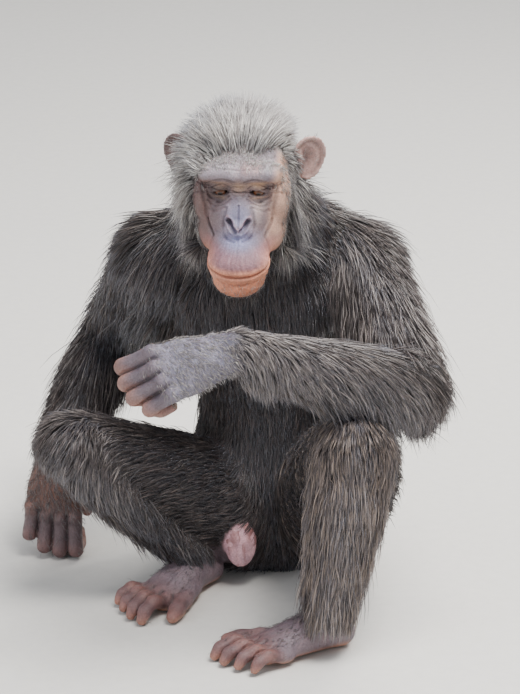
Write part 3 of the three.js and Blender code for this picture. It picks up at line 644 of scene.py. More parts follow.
# Creases of the face in the head's frame: path, half width, depth; each is on both sides
faceCreases = [
    ([(7, -80, 37), (18, -82, 42), (32, -79, 40), (44, -70, 32), (48, -64, 20)], 1.5, 1.9),  # over the lid
    ([(12, -80, 27), (22, -83, 32), (34, -80, 31), (42, -73, 24)], 0.9, 1.1),  # fold in the upper lid
    ([(13, -81, 15), (22, -82, 8), (34, -79, 8), (44, -70, 14)], 1.3, 1.4),  # under the lid
    ([(10, -84, 10), (20, -83, 1), (34, -77, -1), (46, -67, 6)], 1.5, 1.3),
    ([(15, -84, -2), (28, -80, -8), (40, -71, -8)], 1.8, 1.0),
    ([(45, -70, 20), (52, -63, 14), (56, -56, 4)], 1.1, 1.0),
    ([(45, -70, 24), (54, -61, 25), (59, -52, 22)], 1.1, 0.9),
    ([(50, -69, 34), (50, -68, 12), (44, -73, -14), (40, -80, -28), (36, -94, -38)], 2.0, 1.7),  # by the nose
    ([(41, -76, -21), (38, -84, -30), (36, -93, -37)], 1.5, 2.2),
    ([(38, -96, -36), (44, -98, -54), (46, -102, -66)], 2.4, 1.0),
    ([(17, -93, 4), (19, -96, -8), (21, -101, -22), (17, -110, -32), (6, -117, -35)], 1.8, 1.6),  # nose wing
    ([(0, -150, -85), (14, -147, -84), (27, -139, -82)], 1.6, 0.9),
]
middleCreases = [
    ([(0, -95, 9), (0, -98, 4), (0, -108, -11), (0, -113, -16)], 1.0, 2.0),
    ([(0, -117, -26), (0, -121, -40), (0, -130, -56)], 1.4, 0.7),
    ([(-9, -79, 34), (0, -80, 34.5), (9, -79, 34)], 0.9, 0.8),
    ([(-10, -80, 29), (0, -81, 29), (10, -80, 29)], 0.9, 0.8),
    ([(-9, -82, 24), (0, -83, 23), (9, -82, 24)], 0.9, 0.7),
    ([(-8, -85, 19), (0, -86, 18), (8, -85, 19)], 0.9, 0.6),
    ([(-30, -72, 51), (0, -74, 50), (30, -72, 51)], 1.3, 0.7),
    ([(-34, -64, 57), (0, -67, 56), (34, -64, 57)], 1.3, 0.6),
]
browLine = [(7, -80, 44), (20, -82, 50), (36, -78, 49), (50, -64, 39)]
mouthLine = [(0, -147, -72), (17, -143.5, -71), (30, -136, -68.5), (38, -126, -66), (44, -110, -61)]
nostrilLine = [(13, -100, -11), (9.5, -106, -15.5), (4, -113, -20)]
noseEdge = [(15, -98, -5), (9, -106, -9), (0, -115, -18)]


def spot(h, at, radii):  # 1 at a place, falling off round it
    return np.exp(-(((h - np.array(at)) / np.array(radii)) ** 2).sum(axis=1))


def mirrored(h):  # the right half of the face laid over the left half
    return np.column_stack([np.abs(h[:, 0]), h[:, 1:]])


lidSlit = {"side": 25, "height": 20, "slope": 0.10, "wide": 11.5, "high": 4.3}


def lidPlace(h, side):  # across and up from the middle of the slit between the lids
    u = h[:, 0] * side - lidSlit["side"]
    return u, h[:, 2] - lidSlit["height"] + lidSlit["slope"] * u


def lidOpening(h, side):  # 1 inside the slit
    u, v = lidPlace(h, side)
    half = lidSlit["high"] * np.clip(1 - (u / lidSlit["wide"]) ** 2, 0, 1)
    return fall(half - 0.7, half + 0.7, np.abs(v)) * (h[:, 1] < -60)


# How far the face's forms rise or sink
reliefSize = {
    "brow": 3.0, "betweenBrows": 2.6, "underEye": 1.5, "mouth": 3.6, "lips": 1.5, "lipLines": 0.35,
    "nostril": 7.5, "nostrilRim": 1.9, "noseTip": 1.4, "lidRim": 0.8, "lidSlit": 5.5, "chinLines": 0.5,
}


def faceRelief(h):
    size = reliefSize
    relief = np.zeros(len(h))
    both = mirrored(h)
    for path, half, depth in faceCreases:
        relief += crease(both, path, half, depth)
    for path, half, depth in middleCreases:
        relief += crease(h, path, half, depth)
    relief += size["brow"] * hump(offPath(both, browLine, 16), 0, 6)
    relief -= size["betweenBrows"] * spot(both, (0, -76, 48), (6, 12, 10))
    relief -= size["underEye"] * spot(both, (26, -80, 8), (16, 12, 5))
    mouth = offPath(both, mouthLine, 24)
    lipHeight = np.interp(both[:, 0], [at[0] for at in mouthLine], [at[2] for at in mouthLine])
    lipSide = step(-3, 3, both[:, 2] - lipHeight)
    relief += size["lips"] * hump(mouth, 4.5, 3.2) * mix(1.2, 0.8, lipSide)
    relief -= size["mouth"] * hump(mouth, 0, 1.3)
    nostril = offPath(both, nostrilLine, 12)
    relief += size["nostrilRim"] * hump(nostril, 5.0, 1.8) - size["nostril"] * hump(nostril, 0, 2.6)
    fromTip = np.linalg.norm((both - vec(0, -113, -24)) / vec(1, 1, 1.2), axis=1)
    relief += size["noseTip"] * hump(fromTip, 0, 4)
    opening = np.maximum(lidOpening(h, 1), lidOpening(h, -1))
    u, v = lidPlace(both, 1)
    rim = np.abs(np.hypot(u / lidSlit["wide"], v / lidSlit["high"]) - 1.22)
    relief += size["lidRim"] * hump(rim, 0, 0.35) * (both[:, 1] < -60) - size["lidSlit"] * opening
    azimuth = np.arctan2(h[:, 0], -(h[:, 1] + 85))
    upperLip = step(-69, -62, h[:, 2]) * fall(-44, -36, h[:, 2]) * (h[:, 1] < -100)
    lines = np.sin(azimuth * 46 + 1.3 * np.sin(h[:, 2] * 0.21) + 2 * np.sin(azimuth * 9))
    relief += size["lipLines"] * upperLip * lines
    chin = fall(-82, -76, h[:, 2]) * (h[:, 1] < -95)
    lines = np.sin(h[:, 0] * 0.62 + np.sin(h[:, 2] * 0.4)) * np.sin(h[:, 2] * 0.55 + np.sin(h[:, 0] * 0.31))
    return relief + size["chinLines"] * chin * lines


def shapeFace():
    points = getPoints(skin.data)
    near = np.nonzero(faceShare(toHead(points)) > 0)[0]
    h = toHead(points[near])
    share = step(0.0, 0.5, faceShare(h))[:, None]
    h = mix(h, onFace(h), share)
    h += unit(headSlope(h)) * (faceRelief(h) * share[:, 0])[:, None]
    points[near] = toWorld(h)
    points[:, 2] = np.maximum(points[:, 2], 0.4)
    setPoints(skin.data, points)


def betweenDigits(p, part, lines, half, pastRoot):  # 1 in the clefts between digits
    away = np.sort([pathDistance(p, line) for line in lines], axis=0)
    past = np.min([np.linalg.norm(p - each["line"][1], axis=1) for each in part["digits"]], axis=0)
    return hump(away[1] - away[0], 0, half) * step(*pastRoot, past) * fall(15, 19, away[0])


wrinkleSize = {"cleft": 4.2, "deep": 0.75, "knuckle": 1.0, "places": (-5.5, -2, 1.5, 5), "half": 1.1}


def shapeDigits(part):  # deep lines between the digits, and wrinkles over each joint
    p = getPoints(skin.data)
    n = getNormals(skin.data)
    near = np.nonzero(digitShare(p, part, 24))[0]
    q = p[near]
    lines = [spline(each["line"][1:], 24) for each in part["digits"]]
    size = wrinkleSize
    relief = -size["cleft"] * betweenDigits(q, part, lines, 2.6, (9, 17))
    for each in part["digits"]:
        line, axis = each["line"], each["across"]
        for k in (2, 3):
            ahead = unit(unit(line[k] - line[k - 1]) + unit(line[k + 1] - line[k]))
            up = np.cross(axis, ahead)
            up = up * np.sign(up @ each["back"] + 1e-9)
            d = q - line[k]
            own = (np.abs(d @ axis) < 13) & (np.linalg.norm(d, axis=1) < 19)
            back = step(0, 5, d @ up)
            s = d @ ahead
            wrinkles = sum(hump(s, at, size["half"]) for at in size["places"])
            relief += own * back * (size["knuckle"] * hump(s, 0, 7) - size["deep"] * wrinkles)
    p[near] += n[near] * relief[:, None]
    p[:, 2] = np.maximum(p[:, 2], 0.4)
    setPoints(skin.data, p)


shapeFace()
for part in handsAndFeet:
    shapeDigits(part)
triangles = sum(len(f.vertices) - 2 for f in skin.data.polygons)
groupVertices(skin, "offFace", faceShare(toHead(getPoints(skin.data))) < 0.5)
applyModifier(skin, "DECIMATE", ratio=min(1, skinSize["most"] / triangles), vertex_group="offFace",
              vertex_group_factor=1.0)
shadeSmooth(skin)
print("face and digits shaped:", triangles, "triangles, then", len(skin.data.polygons))

# Which limb each point of the skin belongs to, how far down it, and which way the coat lies there
coatFlow = {
    "torso": -1, "neck": -1, "upperArmLeft": 1, "forearmLeft": -1, "upperArmRight": 1,
    "forearmRight": 1, "thighLeft": 1, "shinLeft": 1, "thighRight": 1, "shinRight": 1,
}
limbNames = list(limbs)
lieGuides = [  # where the lie turns between limbs: place, direction, reach
    (joint["shoulderLeft"] + vec(-10, -10, 55), vec(0.8, -0.15, -0.75), 70),
    (joint["shoulderRight"] + vec(10, -10, 55), vec(-0.8, -0.1, -0.75), 70),
    (joint["shoulderLeft"] + vec(40, -40, 10), vec(0.25, -0.5, -1), 60),
    (joint["shoulderRight"] + vec(-40, -20, 10), vec(-0.3, 0.2, -1), 60),
    (joint["elbowLeft"] + vec(20, 0, 0), vec(-0.05, 0.1, -1), 60),
    (joint["elbowRight"] + vec(-20, 20, 0), vec(-0.2, 0.2, -1), 60),
    (joint["elbowRight"] + vec(45, -20, 20), vec(1, -0.3, -0.6), 55),
    (vec(-95, 10, 420), vec(-0.8, 0.3, -1), 60),
    (joint["wristLeft"] + vec(34, 0, -24), vec(-0.25, -0.1, -1), 40),
    (joint["kneeLeft"] + vec(0, -40, 20), vec(0.1, -0.3, -1), 60),
    (joint["kneeRight"] + vec(-30, -10, 20), vec(-0.25, -0.1, -1), 60),
]


def limbPlaces(p):
    away, share, angle, lie = [], [], [], []
    for name, limb in limbs.items():
        centre = limb["centre"]
        nearest = nearestOf(centre, p)
        offset = p - centre[nearest]
        wide = (offset * limb["wide"][nearest]).sum(axis=1)
        deep = (offset * limb["deep"][nearest]).sum(axis=1)
        size = limb["size"][nearest]
        away.append(np.linalg.norm(offset, axis=1) / size.max(axis=1))
        share.append(nearest / (len(centre) - 1))
        angle.append(np.arctan2(deep, wide) / (2 * math.pi) + 0.5)
        lie.append(limb["along"][nearest] * coatFlow[name])
    away, share, angle, lie = np.array(away), np.array(share), np.array(angle), np.array(lie)
    which = away.argmin(axis=0)
    pick = (which, np.arange(len(p)))
    weight = np.exp(-9 * (away - away[pick]))
    lie = (lie * weight[:, :, None]).sum(axis=0) / weight.sum(axis=0)[:, None] + 0.3 * down
    for at, direction, reach in lieGuides:
        lie = lie + 1.6 * around(p, at, reach)[:, None] * unit(direction)
    return which, share[pick], angle[pick], lie


def headLie(h):
    top = step(10, 62, h[:, 2])
    out = h[:, 0] / 60
    return np.stack([out * mix(1.15, 1.0, top), mix(0.15, 0.8, top), mix(-1.0, 0.1, top)], axis=1)


# Partly painted light: the coat is painted greyer where light falls, on the left arm, the knees and shins,
# the left cheek, by the left shoulder and on the neck, and less grey on the front of the torso as painted
# shade
def greyAndLightShare(p, h, onHead, part, share):  # how much of the coat is grey or white
    grey = np.full(len(p), 0.08)
    grey += part["torso"] * 0.12 * step(20, 70, p[:, 1])
    grey += mix(0.1, 0.2, share) * part["upperArmLeft"] + 0.04 * part["upperArmRight"]
    grey += part["forearmLeft"] * mix(0.3, 0.54, step(0.6, 1, share)) + 0.12 * part["forearmRight"]
    grey += 0.42 * part["shinLeft"] + 0.35 * part["thighLeft"] * step(0.5, 0.95, share)
    grey += 0.3 * part["shinRight"] * fall(0.2, 0.8, share)
    grey += part["thighRight"] * (0.3 * step(0.7, 0.95, share) - 0.06)
    # Painted shade: the coat on the front of the torso darker
    grey -= 0.11 * part["torso"] * step(0, 60, -p[:, 1])
    crown = step(5, 66, h[:, 2] + 34 * step(0, 40, -h[:, 0])) * fall(0, 96, h[:, 1])
    cheek = fall(15, 40, h[:, 2]) * step(35, 55, np.abs(h[:, 0])) * fall(0, 50, h[:, 1])
    # The left cheek's coat is painted greyer than the right's, as painted light
    grey = np.where(onHead, 0.08 + 1.1 * crown + (0.36 + 0.14 * (h[:, 0] > 0)) * cheek, grey)
    lit = step(0.1, 0.8, part["upperArmLeft"] * (1 - share)) * 0.14 + 0.06 * part["neck"]
    return np.clip(grey + lit, 0, 1)


coatColours = {
    # haze is the grey-brown that dark hair is lightened to where the coat is painted greyer, partly painted
    # light
    "dark": srgb(42, 36, 35), "brown": srgb(84, 71, 66), "haze": srgb(106, 98, 99),
    "grey": srgb(164, 154, 148), "white": srgb(244, 242, 236), "tan": srgb(178, 158, 142),
}
coatSize = {
    "count": 118000, "seed": 7, "long": 46, "most": 15500,  # most tufts in one piece
    "marks": (0.22, 0.62, 1.0), "widths": (1.0, 0.8),  # along a tuft, as shares of its length and width
    "body": 0.78, "head": 0.55,  # half width of a tuft
    "strays": 0.09, "longer": 0.22,  # how many stand off the rest, and how much longer they are
    "aside": 0.16, "droop": 0.55, "hanging": 1.1,  # turns aside, down, and down below the left forearm
    "press": 0.18, "rise": 0.03,  # turns towards the skin, and the least slope off it
    "sink": 1.2, "above": 1.5,  # into the skin, and off the floor
}
# Degrees off the skin, and how tips are pulled together in locks
coatLift = {"all": 15, "crown": 36, "whisker": 22, "shoulder": 8, "stray": 11, "spread": 5}
coatLocks = {"tufts": 14, "pull": (0.1, 0.6), "reach": (22, 34)}
# The coat is shorter at these joints, and longer round these places: place, how much longer, reach
shortJoints = ("elbowLeft", "kneeLeft", "kneeRight", "shoulderLeft", "shoulderRight")
fullPlaces = (((-150, 170, 305), 42, 55), ((-95, 10, 415), 40, 55))


def shoulderTop(p):  # the full coat between the left shoulder and the neck
    return around(p / vec(1, 1.3, 0.8), vec(95, 10, 545) / vec(1, 1.3, 0.8), 62)


def coatLength(p, h, onHead, part, share):
    length = np.full(len(p), float(coatSize["long"]))
    length += part["torso"] * mix(-8, 14, step(0, 50, p[:, 1]))
    length += 8 * part["neck"]
    for name in ("upperArmLeft", "upperArmRight"):
        length += part[name] * (18 + 10 * share)
    length -= 16 * part["thighRight"] * fall(0.4, 0.8, share)
    length += part["forearmLeft"] * mix(16, -22, step(0.3, 0.92, share))
    length += part["forearmRight"] * mix(22, -16, step(0.3, 0.95, share))
    for name in shortJoints:
        length *= 1 - 0.35 * around(p, joint[name], 70)
    length += part["shinLeft"] * mix(4, 10, step(0.5, 0.8, share)) * (1 - 1.6 * step(0.86, 1, share))
    length += part["shinRight"] * mix(6, -14, step(0.5, 0.95, share))
    for at, more, reach in fullPlaces:
        length += more * around(p, np.array(at), reach)
    top = step(10, 62, h[:, 2])
    side = step(30, 60, np.abs(h[:, 0])) * (1 - top)
    byEar = step(40, 60, np.abs(h[:, 0])) * step(-8, 12, h[:, 2])
    byEar = byEar * fall(60, 80, h[:, 2]) * step(-60, -30, h[:, 1])
    headLength = mix(46, 52 + 6 * step(10, 40, -h[:, 0]), top) + 22 * side
    headLength = headLength - 30 * faceShare(h + vec(0, 16, -12)) - 12 * top * step(20, 60, h[:, 0])
    headLength = headLength * (1 - byEar * np.where(h[:, 0] > 0, 0.68, 0.2))
    length = np.where(onHead, np.maximum(headLength, 9), length)
    under = part["forearmLeft"] * step(0, 25, limbs["forearmLeft"]["centre"].mean(axis=0)[2] - p[:, 2])
    cuff = around(p, joint["wristLeft"] + vec(26, -4, -34), 34)
    length = length + 16 * shoulderTop(p) * ~onHead + 22 * under + 26 * cuff
    return length * mix(1, 0.35, bareShare(p) * (1 - cuff))


def coatWanted(middle, normal):
    want = 1 - bareShare(middle)
    return want * (1 + 1.5 * (np.linalg.norm(toHead(middle), axis=1) < 130)) * (middle[:, 2] > 4)


def sampleSkin(count, random, wanted):
    mesh = skin.data
    mesh.calc_loop_triangles()
    corner = np.zeros(len(mesh.loop_triangles) * 3, np.int32)
    mesh.loop_triangles.foreach_get("vertices", corner)
    corner = corner.reshape(-1, 3)
    p, n = getPoints(mesh), getNormals(mesh)
    a, b, c = p[corner[:, 0]], p[corner[:, 1]], p[corner[:, 2]]
    area = np.linalg.norm(np.cross(b - a, c - a), axis=1) / 2
    middle = (a + b + c) / 3
    weight = area * wanted(middle, unit(np.cross(b - a, c - a)))
    chosen = np.searchsorted(np.cumsum(weight) / weight.sum(), random.random(count))
    r, s = np.sqrt(random.random(count)), random.random(count)
    w = np.stack([1 - r, r * (1 - s), r * s], axis=1)[:, :, None]
    root = (p[corner[chosen]] * w).sum(axis=1)
    return root, unit((n[corner[chosen]] * w).sum(axis=1))


def alongSkin(lie, normal):
    return unit(lie - (lie * normal).sum(axis=1)[:, None] * normal)


def lifted(flat, normal, lift):
    return flat * np.cos(lift)[:, None] + normal * np.sin(lift)[:, None]


def growCoat():
    random = np.random.default_rng(coatSize["seed"])
    root, normal = sampleSkin(coatSize["count"], random, coatWanted)
    count = len(root)
    h = toHead(root)
    onHead = (np.linalg.norm(h / vec(1, 1, 1.15) + vec(0, 30, 15), axis=1) < 112)
    which, share, angle, lie = limbPlaces(root)
    part = {name: (which == i) & ~onHead for i, name in enumerate(limbNames)}
    flat = alongSkin(np.where(onHead[:, None], headLie(h) @ headTurn.T, lie), normal)
    grey = greyAndLightShare(root, h, onHead, part, share)
    crown = onHead * step(20, 60, h[:, 2])
    stray = (random.random(count) < coatSize["strays"]) * (1 - crown)
    length = coatLength(root, h, onHead, part, share) * random.uniform(0.7, 1.15, count)
    length = length * (1 + coatSize["longer"] * stray)
    whisker = onHead * step(35, 58, np.abs(h[:, 0])) * fall(20, 60, h[:, 2])
    lift = coatLift["all"] + coatLift["crown"] * crown + coatLift["whisker"] * whisker
    lift = lift + coatLift["shoulder"] * ~onHead * shoulderTop(root) + coatLift["stray"] * stray
    lift = np.radians(lift + random.normal(0, coatLift["spread"], count))
    aside = np.cross(normal, flat) * random.normal(0, coatSize["aside"], count)[:, None]
    direction = unit(lifted(flat, normal, lift) + aside)
    droop = coatSize["droop"] * (1 - 0.7 * crown) + coatSize["hanging"] * part["forearmLeft"]
    rings = [root - normal * coatSize["sink"]]
    at = root.copy()
    before = 0.0
    for mark in coatSize["marks"]:
        at = at + direction * (length * (mark - before))[:, None]
        rings.append(at)
        fallen = down * droop[:, None] * (mark - before)
        direction = unit(direction + fallen - normal * coatSize["press"])
        away = (direction * normal).sum(axis=1)
        direction = unit(direction + normal * np.maximum(coatSize["rise"] - away, 0)[:, None])
        before = mark
    rings = clump(np.array(rings), random)
    rings[:, :, 2] = np.maximum(rings[:, :, 2], coatSize["above"])
    tan = 0.8 * (part["shinLeft"] | part["thighLeft"])
    colour = coatColour(grey, onHead.astype(float), tan, random)
    width = random.uniform(0.75, 1.25, count) * np.where(onHead, coatSize["head"], coatSize["body"])
    return {"rings": rings, "normal": normal, "colour": colour, "width": width, "marks": coatSize["marks"],
            "which": which, "share": share, "angle": angle, "onHead": onHead, "h": h, "root": root}


def clump(rings, random):  # tips gather in locks
    count = rings.shape[1]
    guides = random.choice(count, count // coatLocks["tufts"], replace=False)
    mine = guides[nearestOf(rings[0][guides], rings[0])]
    pull = np.linspace(0, 1, len(rings)) ** 1.4
    strength = random.uniform(*coatLocks["pull"], count)
    for k in range(1, len(rings)):
        offset = rings[k][mine] - rings[k]
        far = np.linalg.norm(offset, axis=1)
        rings[k] = rings[k] + offset * (strength * pull[k] * fall(*coatLocks["reach"], far))[:, None]
    return rings


def coatColour(grey, white, tan, random):
    count = len(grey)
    isGrey = step(-0.12, 0.12, grey - random.random(count))
    dark = mix(coatColours["dark"], coatColours["brown"], (random.random(count) ** 2)[:, None])
    # Dark hair lightened towards haze where the coat is greyer, partly painted light
    dark = mix(dark, coatColours["haze"], np.clip(1.5 * grey - 0.2, 0, 0.8)[:, None])
    dark = dark * random.uniform(0.7, 1.3, count)[:, None]
    pale = mix(coatColours["grey"], coatColours["white"], (white * random.random(count))[:, None])
    pale = mix(pale, coatColours["tan"], tan[:, None])
    pale = pale * random.uniform(0.6, 1.05, count)[:, None]
    return mix(dark, pale, (isGrey * mix(0.8, 1, white) * random.uniform(0.45, 1, count))[:, None])


# Short sparse hairs on the backs of the hands, the insteps, brow, cheeks, chin and ears
fuzzSize = {"count": 6200, "seed": 11, "width": 0.34, "marks": (0.45, 1.0), "lift": (10, 34)}


def fuzzKinds(p, n):  # weight, length, grey, direction
    h = toHead(p)
    x, z = np.abs(h[:, 0]), h[:, 2]
    front = faceShare(h)
    kinds = []
    for hand, grey, weight, length in ((handLeft, 0.95, 0.36, 11), (handRight, 0.35, 0.3, 11)):
        q = p - hand["wrist"]
        along = q @ hand["along"]
        back = handShare(p, hand) * step(-2, 6, -q @ hand["palm"]) * (1 - 0.85 * step(70, 120, along))
        lie = unit(0.6 * down - 0.5 * hand["along"])
        kinds.append((weight * back * step(-40, 0, along), length, grey, lie))
    for foot in (footLeft, footRight):
        along = (p - foot["heel"]) @ foot["along"]
        top = footShare(p, foot) * step(0.1, 0.6, n[:, 2]) * (1 - 0.9 * step(50, 120, along))
        kinds.append((0.2 * top, 9, 0.35, unit(foot["along"] + 0.3 * down)))
    brow, cheek = front * step(44, 76, z), front * step(42, 58, x) * (h[:, 1] > -70)
    chin = front * fall(-84, -78, z)
    onHead = [(1.3 * brow, 10, 0.95, (0, 0.2, 1)), (0.35 * cheek, 12, 0.5, (0, 0.1, -1)),
              (0.1 * chin, 7, 0.9, (0, -0.5, -1)), (0.05 * earShare(h), 9, 0.5, (0, 0.2, 1))]
    return kinds + [(weight, length, grey, headTurn @ unit(lie)) for weight, length, grey, lie in onHead]


def fuzzWanted(p, n):
    return sum(kind[0] for kind in fuzzKinds(p, n))


def growFuzz():
    random = np.random.default_rng(fuzzSize["seed"])
    root, normal = sampleSkin(fuzzSize["count"], random, fuzzWanted)
    kinds = fuzzKinds(root, normal)
    count = len(root)
    pick = np.array([kind[0] for kind in kinds]).argmax(axis=0)
    length, grey, lie = (np.array([kind[k] for kind in kinds])[pick] for k in (1, 2, 3))
    length = length * random.uniform(0.6, 1.2, count)
    lie = lie + random.normal(0, 0.25, (count, 3))
    lift = np.radians(random.uniform(*fuzzSize["lift"], count))
    direction = unit(lifted(alongSkin(lie, normal), normal, lift))
    half = fuzzSize["marks"][0]
    middle = root + direction * (length * half)[:, None]
    tip = middle + unit(direction + 0.25 * down - 0.2 * normal) * (length * (1 - half))[:, None]
    rings = np.array([root - normal * 0.8, middle, tip])
    rings[:, :, 2] = np.maximum(rings[:, :, 2], 1.0)
    h = toHead(root)
    which, share, angle, _ = limbPlaces(root)
    onHead = np.linalg.norm(h, axis=1) < 190
    white = np.maximum(onHead, 0.6 * (grey > 0.9))
    colour = coatColour(grey, white, 0 * white, random)
    width = fuzzSize["width"] * random.uniform(0.8, 1.2, count) * np.where(onHead, 0.75, 1)
    return {"rings": rings, "normal": normal, "colour": colour, "width": width, "marks": fuzzSize["marks"],
            "which": which, "share": share, "angle": angle, "onHead": onHead, "h": h, "root": root}


# The flat map that the coat's colours are baked on: tiles, their margins, and the patch of one tuft
coatTiles = {"across": 4, "size": 0.25, "edge": 0.01, "patch": 0.003}


def coatPlaces(coat):  # each tuft's place on a flat map: a tile for each limb, and one for the head
    h = coat["h"] - headCentre
    polar = np.arccos(np.clip(h[:, 1] / np.linalg.norm(h, axis=1), -1, 1)) / math.pi
    turn = np.arctan2(h[:, 2], h[:, 0]) / (2 * math.pi) + 0.5
    u = np.where(coat["onHead"], turn, coat["angle"])
    v = np.where(coat["onHead"], polar, coat["share"])
    tile = np.where(coat["onHead"], len(limbNames), coat["which"])
    room = coatTiles["size"] - 2 * coatTiles["edge"]
    left = (tile % coatTiles["across"]) * coatTiles["size"] + coatTiles["edge"]
    low = (tile // coatTiles["across"]) * coatTiles["size"] + coatTiles["edge"]
    return np.stack([left + u * room, low + v * room], axis=1)


def strandPiece(name, coat, chosen, places):  # three-sided strands that come to a point at both ends
    rings = coat["rings"][:, chosen]
    count = rings.shape[1]
    middle = len(rings) - 2
    half = coat["width"][chosen][:, None]
    points = [rings[0]]
    for k in range(1, middle + 1):
        ahead = unit(rings[k + 1] - rings[k - 1])
        across = unit(np.cross(ahead, coat["normal"][chosen]))
        up = np.cross(across, ahead)
        width = half * coatSize["widths"][k - 1]
        points += [rings[k] - across * width, rings[k] + across * width, rings[k] + up * width]
    points.append(rings[-1])
    perStrand = len(points)
    points = np.stack(points, axis=1).reshape(-1, 3)
    faces = []
    for a, b in ((0, 1), (1, 2), (2, 0)):
        faces.append((0, 1 + b, 1 + a))
        for k in range(middle - 1):
            low, high = 1 + 3 * k, 4 + 3 * k
            faces += [(low + a, low + b, high + b), (low + a, high + b, high + a)]
        faces.append((perStrand - 4 + a, perStrand - 4 + b, perStrand - 1))
    faces = np.array(faces)
    corners = (faces[None] + (np.arange(count) * perStrand)[:, None, None]).ravel()
    mesh = bpy.data.meshes.new(name)
    mesh.vertices.add(len(points))
    mesh.vertices.foreach_set("co", (points * mm).astype(np.float32).ravel())
    mesh.loops.add(len(corners))
    mesh.loops.foreach_set("vertex_index", corners.astype(np.int32))
    mesh.polygons.add(len(corners) // 3)
    mesh.polygons.foreach_set("loop_start", np.arange(0, len(corners), 3, dtype=np.int32))
    mesh.polygons.foreach_set("use_smooth", np.ones(len(corners) // 3, bool))
    marks = coat["marks"]
    along = np.array([0, *np.repeat(marks[:-1], 3), 1])
    side = np.array([0.5, *[0, 1, 0.5] * middle, 0.5])
    colour = np.repeat(coat["colour"][chosen], perStrand, axis=0)
    setColours(mesh, "coatColour", colour, np.tile(along, count))
    uv = places[chosen][:, None] + (np.stack([side, along], axis=1) - 0.5) * coatTiles["patch"]
    layer = mesh.uv_layers.new(name="OFBake")
    layer.data.foreach_set("uv", uv.reshape(-1, 2)[corners].astype(np.float32).ravel())
    mesh.update(calc_edges=True)
    piece = bpy.data.objects.new(name, mesh)
    bpy.context.collection.objects.link(piece)
    return piece


coat = growCoat()
print("coat grown:", len(coat["root"]), "tufts")


# Materials
def newMaterial(name, roughness, specular=0.5):
    material = bpy.data.materials.new(name)
    material.use_nodes = True
    shader = material.node_tree.nodes["Principled BSDF"]
    shader.inputs["Roughness"].default_value = roughness
    shader.inputs["Specular IOR Level"].default_value = specular
    return material, shader


def plug(material, value, socket):  # the value is a plain one or another node's output
    if isinstance(value, bpy.types.NodeSocket):
        material.node_tree.links.new(value, socket)
    else:
        socket.default_value = value


def addNode(material, kind, inputs, **settings):
    node = material.node_tree.nodes.new("ShaderNode" + kind)
    for key, value in settings.items():
        setattr(node, key, value)
    for key, value in inputs.items():
        plug(material, value, node.inputs[key])
    return node


def objectPlace(material):
    return addNode(material, "TexCoord", {}).outputs["Object"]


def mixNode(material, kind, a, b, share):
    return addNode(material, "Mix", {6: a, 7: b, 0: share}, data_type="RGBA", blend_type=kind).outputs[2]


def noiseNode(material, vector, scale, detail=4, output="Fac"):
    inputs = {"Scale": scale, "Detail": detail, "Vector": vector}
    return addNode(material, "TexNoise", inputs).outputs[output]


def edgeNode(material, vector, scale):
    inputs = {"Scale": scale, "Vector": vector}
    return addNode(material, "TexVoronoi", inputs, feature="DISTANCE_TO_EDGE").outputs["Distance"]


def rampNode(material, value, low, high, lowColour, highColour):
    ramp = addNode(material, "ValToRGB", {"Fac": value})
    for i, (at, colour) in enumerate(((low, lowColour), (high, highColour))):
        ramp.color_ramp.elements[i].position = at
        ramp.color_ramp.elements[i].color = (*colour, 1)
    return ramp.outputs["Color"]


def bumpNode(material, height, strength, distance, before=None):
    inputs = {"Strength": strength, "Distance": distance, "Height": height}
    if before is not None:
        inputs["Normal"] = before
    return addNode(material, "Bump", inputs).outputs["Normal"]


def coatMaterial():
    material, shader = newMaterial("coatHair", 0.42)
    shader.inputs["Sheen Weight"].default_value = 0.25
    shader.inputs["Sheen Roughness"].default_value = 0.4
    shader.inputs["Sheen Tint"].default_value = (0.75, 0.8, 0.95, 1)
    attribute = addNode(material, "Attribute", {}, attribute_name="coatColour")
    darkRoots = rampNode(material, attribute.outputs["Alpha"], 0.0, 0.7, (0.45, 0.45, 0.45), (1, 1, 1))
    noise = noiseNode(material, objectPlace(material), 26, 3)
    patches = rampNode(material, noise, 0.35, 0.65, (0.72, 0.70, 0.70), (1.2, 1.17, 1.14))
    colour = mixNode(material, "MULTIPLY", attribute.outputs["Color"], darkRoots, 1.0)
    colour = mixNode(material, "MULTIPLY", colour, patches, 0.7)
    plug(material, colour, shader.inputs["Base Color"])
    return material


coatFinish = coatMaterial()
places = coatPlaces(coat)
coatPieces = {
    "coat_head": coat["onHead"],
    "coat_torso_front": ~coat["onHead"] & (coat["which"] == 0) & (coat["root"][:, 1] < 0),
    "coat_torso_back": ~coat["onHead"] & (coat["which"] == 0) & (coat["root"][:, 1] >= 0),
}
for i, name in enumerate(limbNames[1:], 1):
    coatPieces["coat_" + name] = ~coat["onHead"] & (coat["which"] == i)
coatReplaces = {
    "coat_head": ["head", "ear_left", "ear_right"], "coat_neck": ["neck"],
    "coat_torso_front": ["abdomen", "pelvis"], "coat_torso_back": ["chest"],
    "coat_upperArmLeft": ["upper_arm_left"], "coat_upperArmRight": ["upper_arm_right"],
    "coat_forearmLeft": ["forearm_left"], "coat_forearmRight": ["forearm_right"],
    "coat_thighLeft": ["thigh_left"], "coat_thighRight": ["thigh_right"],
    "coat_shinLeft": ["shin_left"], "coat_shinRight": ["shin_right"],
}
for name, chosen in coatPieces.items():
    chosen = np.nonzero(chosen)[0]
    for i, some in enumerate(np.array_split(chosen, len(chosen) // coatSize["most"] + 1)):
        piece = strandPiece(name if i == 0 else f"{name}_{i}", coat, some, places)
        piece.data.materials.append(coatFinish)
        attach(piece, "root")
        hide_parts(*coatReplaces[name])
        print(piece.name, len(some), "tufts,", len(piece.data.polygons), "faces")
fuzz = growFuzz()
piece = strandPiece("short_hairs", fuzz, np.arange(len(fuzz["root"])), coatPlaces(fuzz))
piece.data.materials.append(coatFinish)
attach(piece, "root")

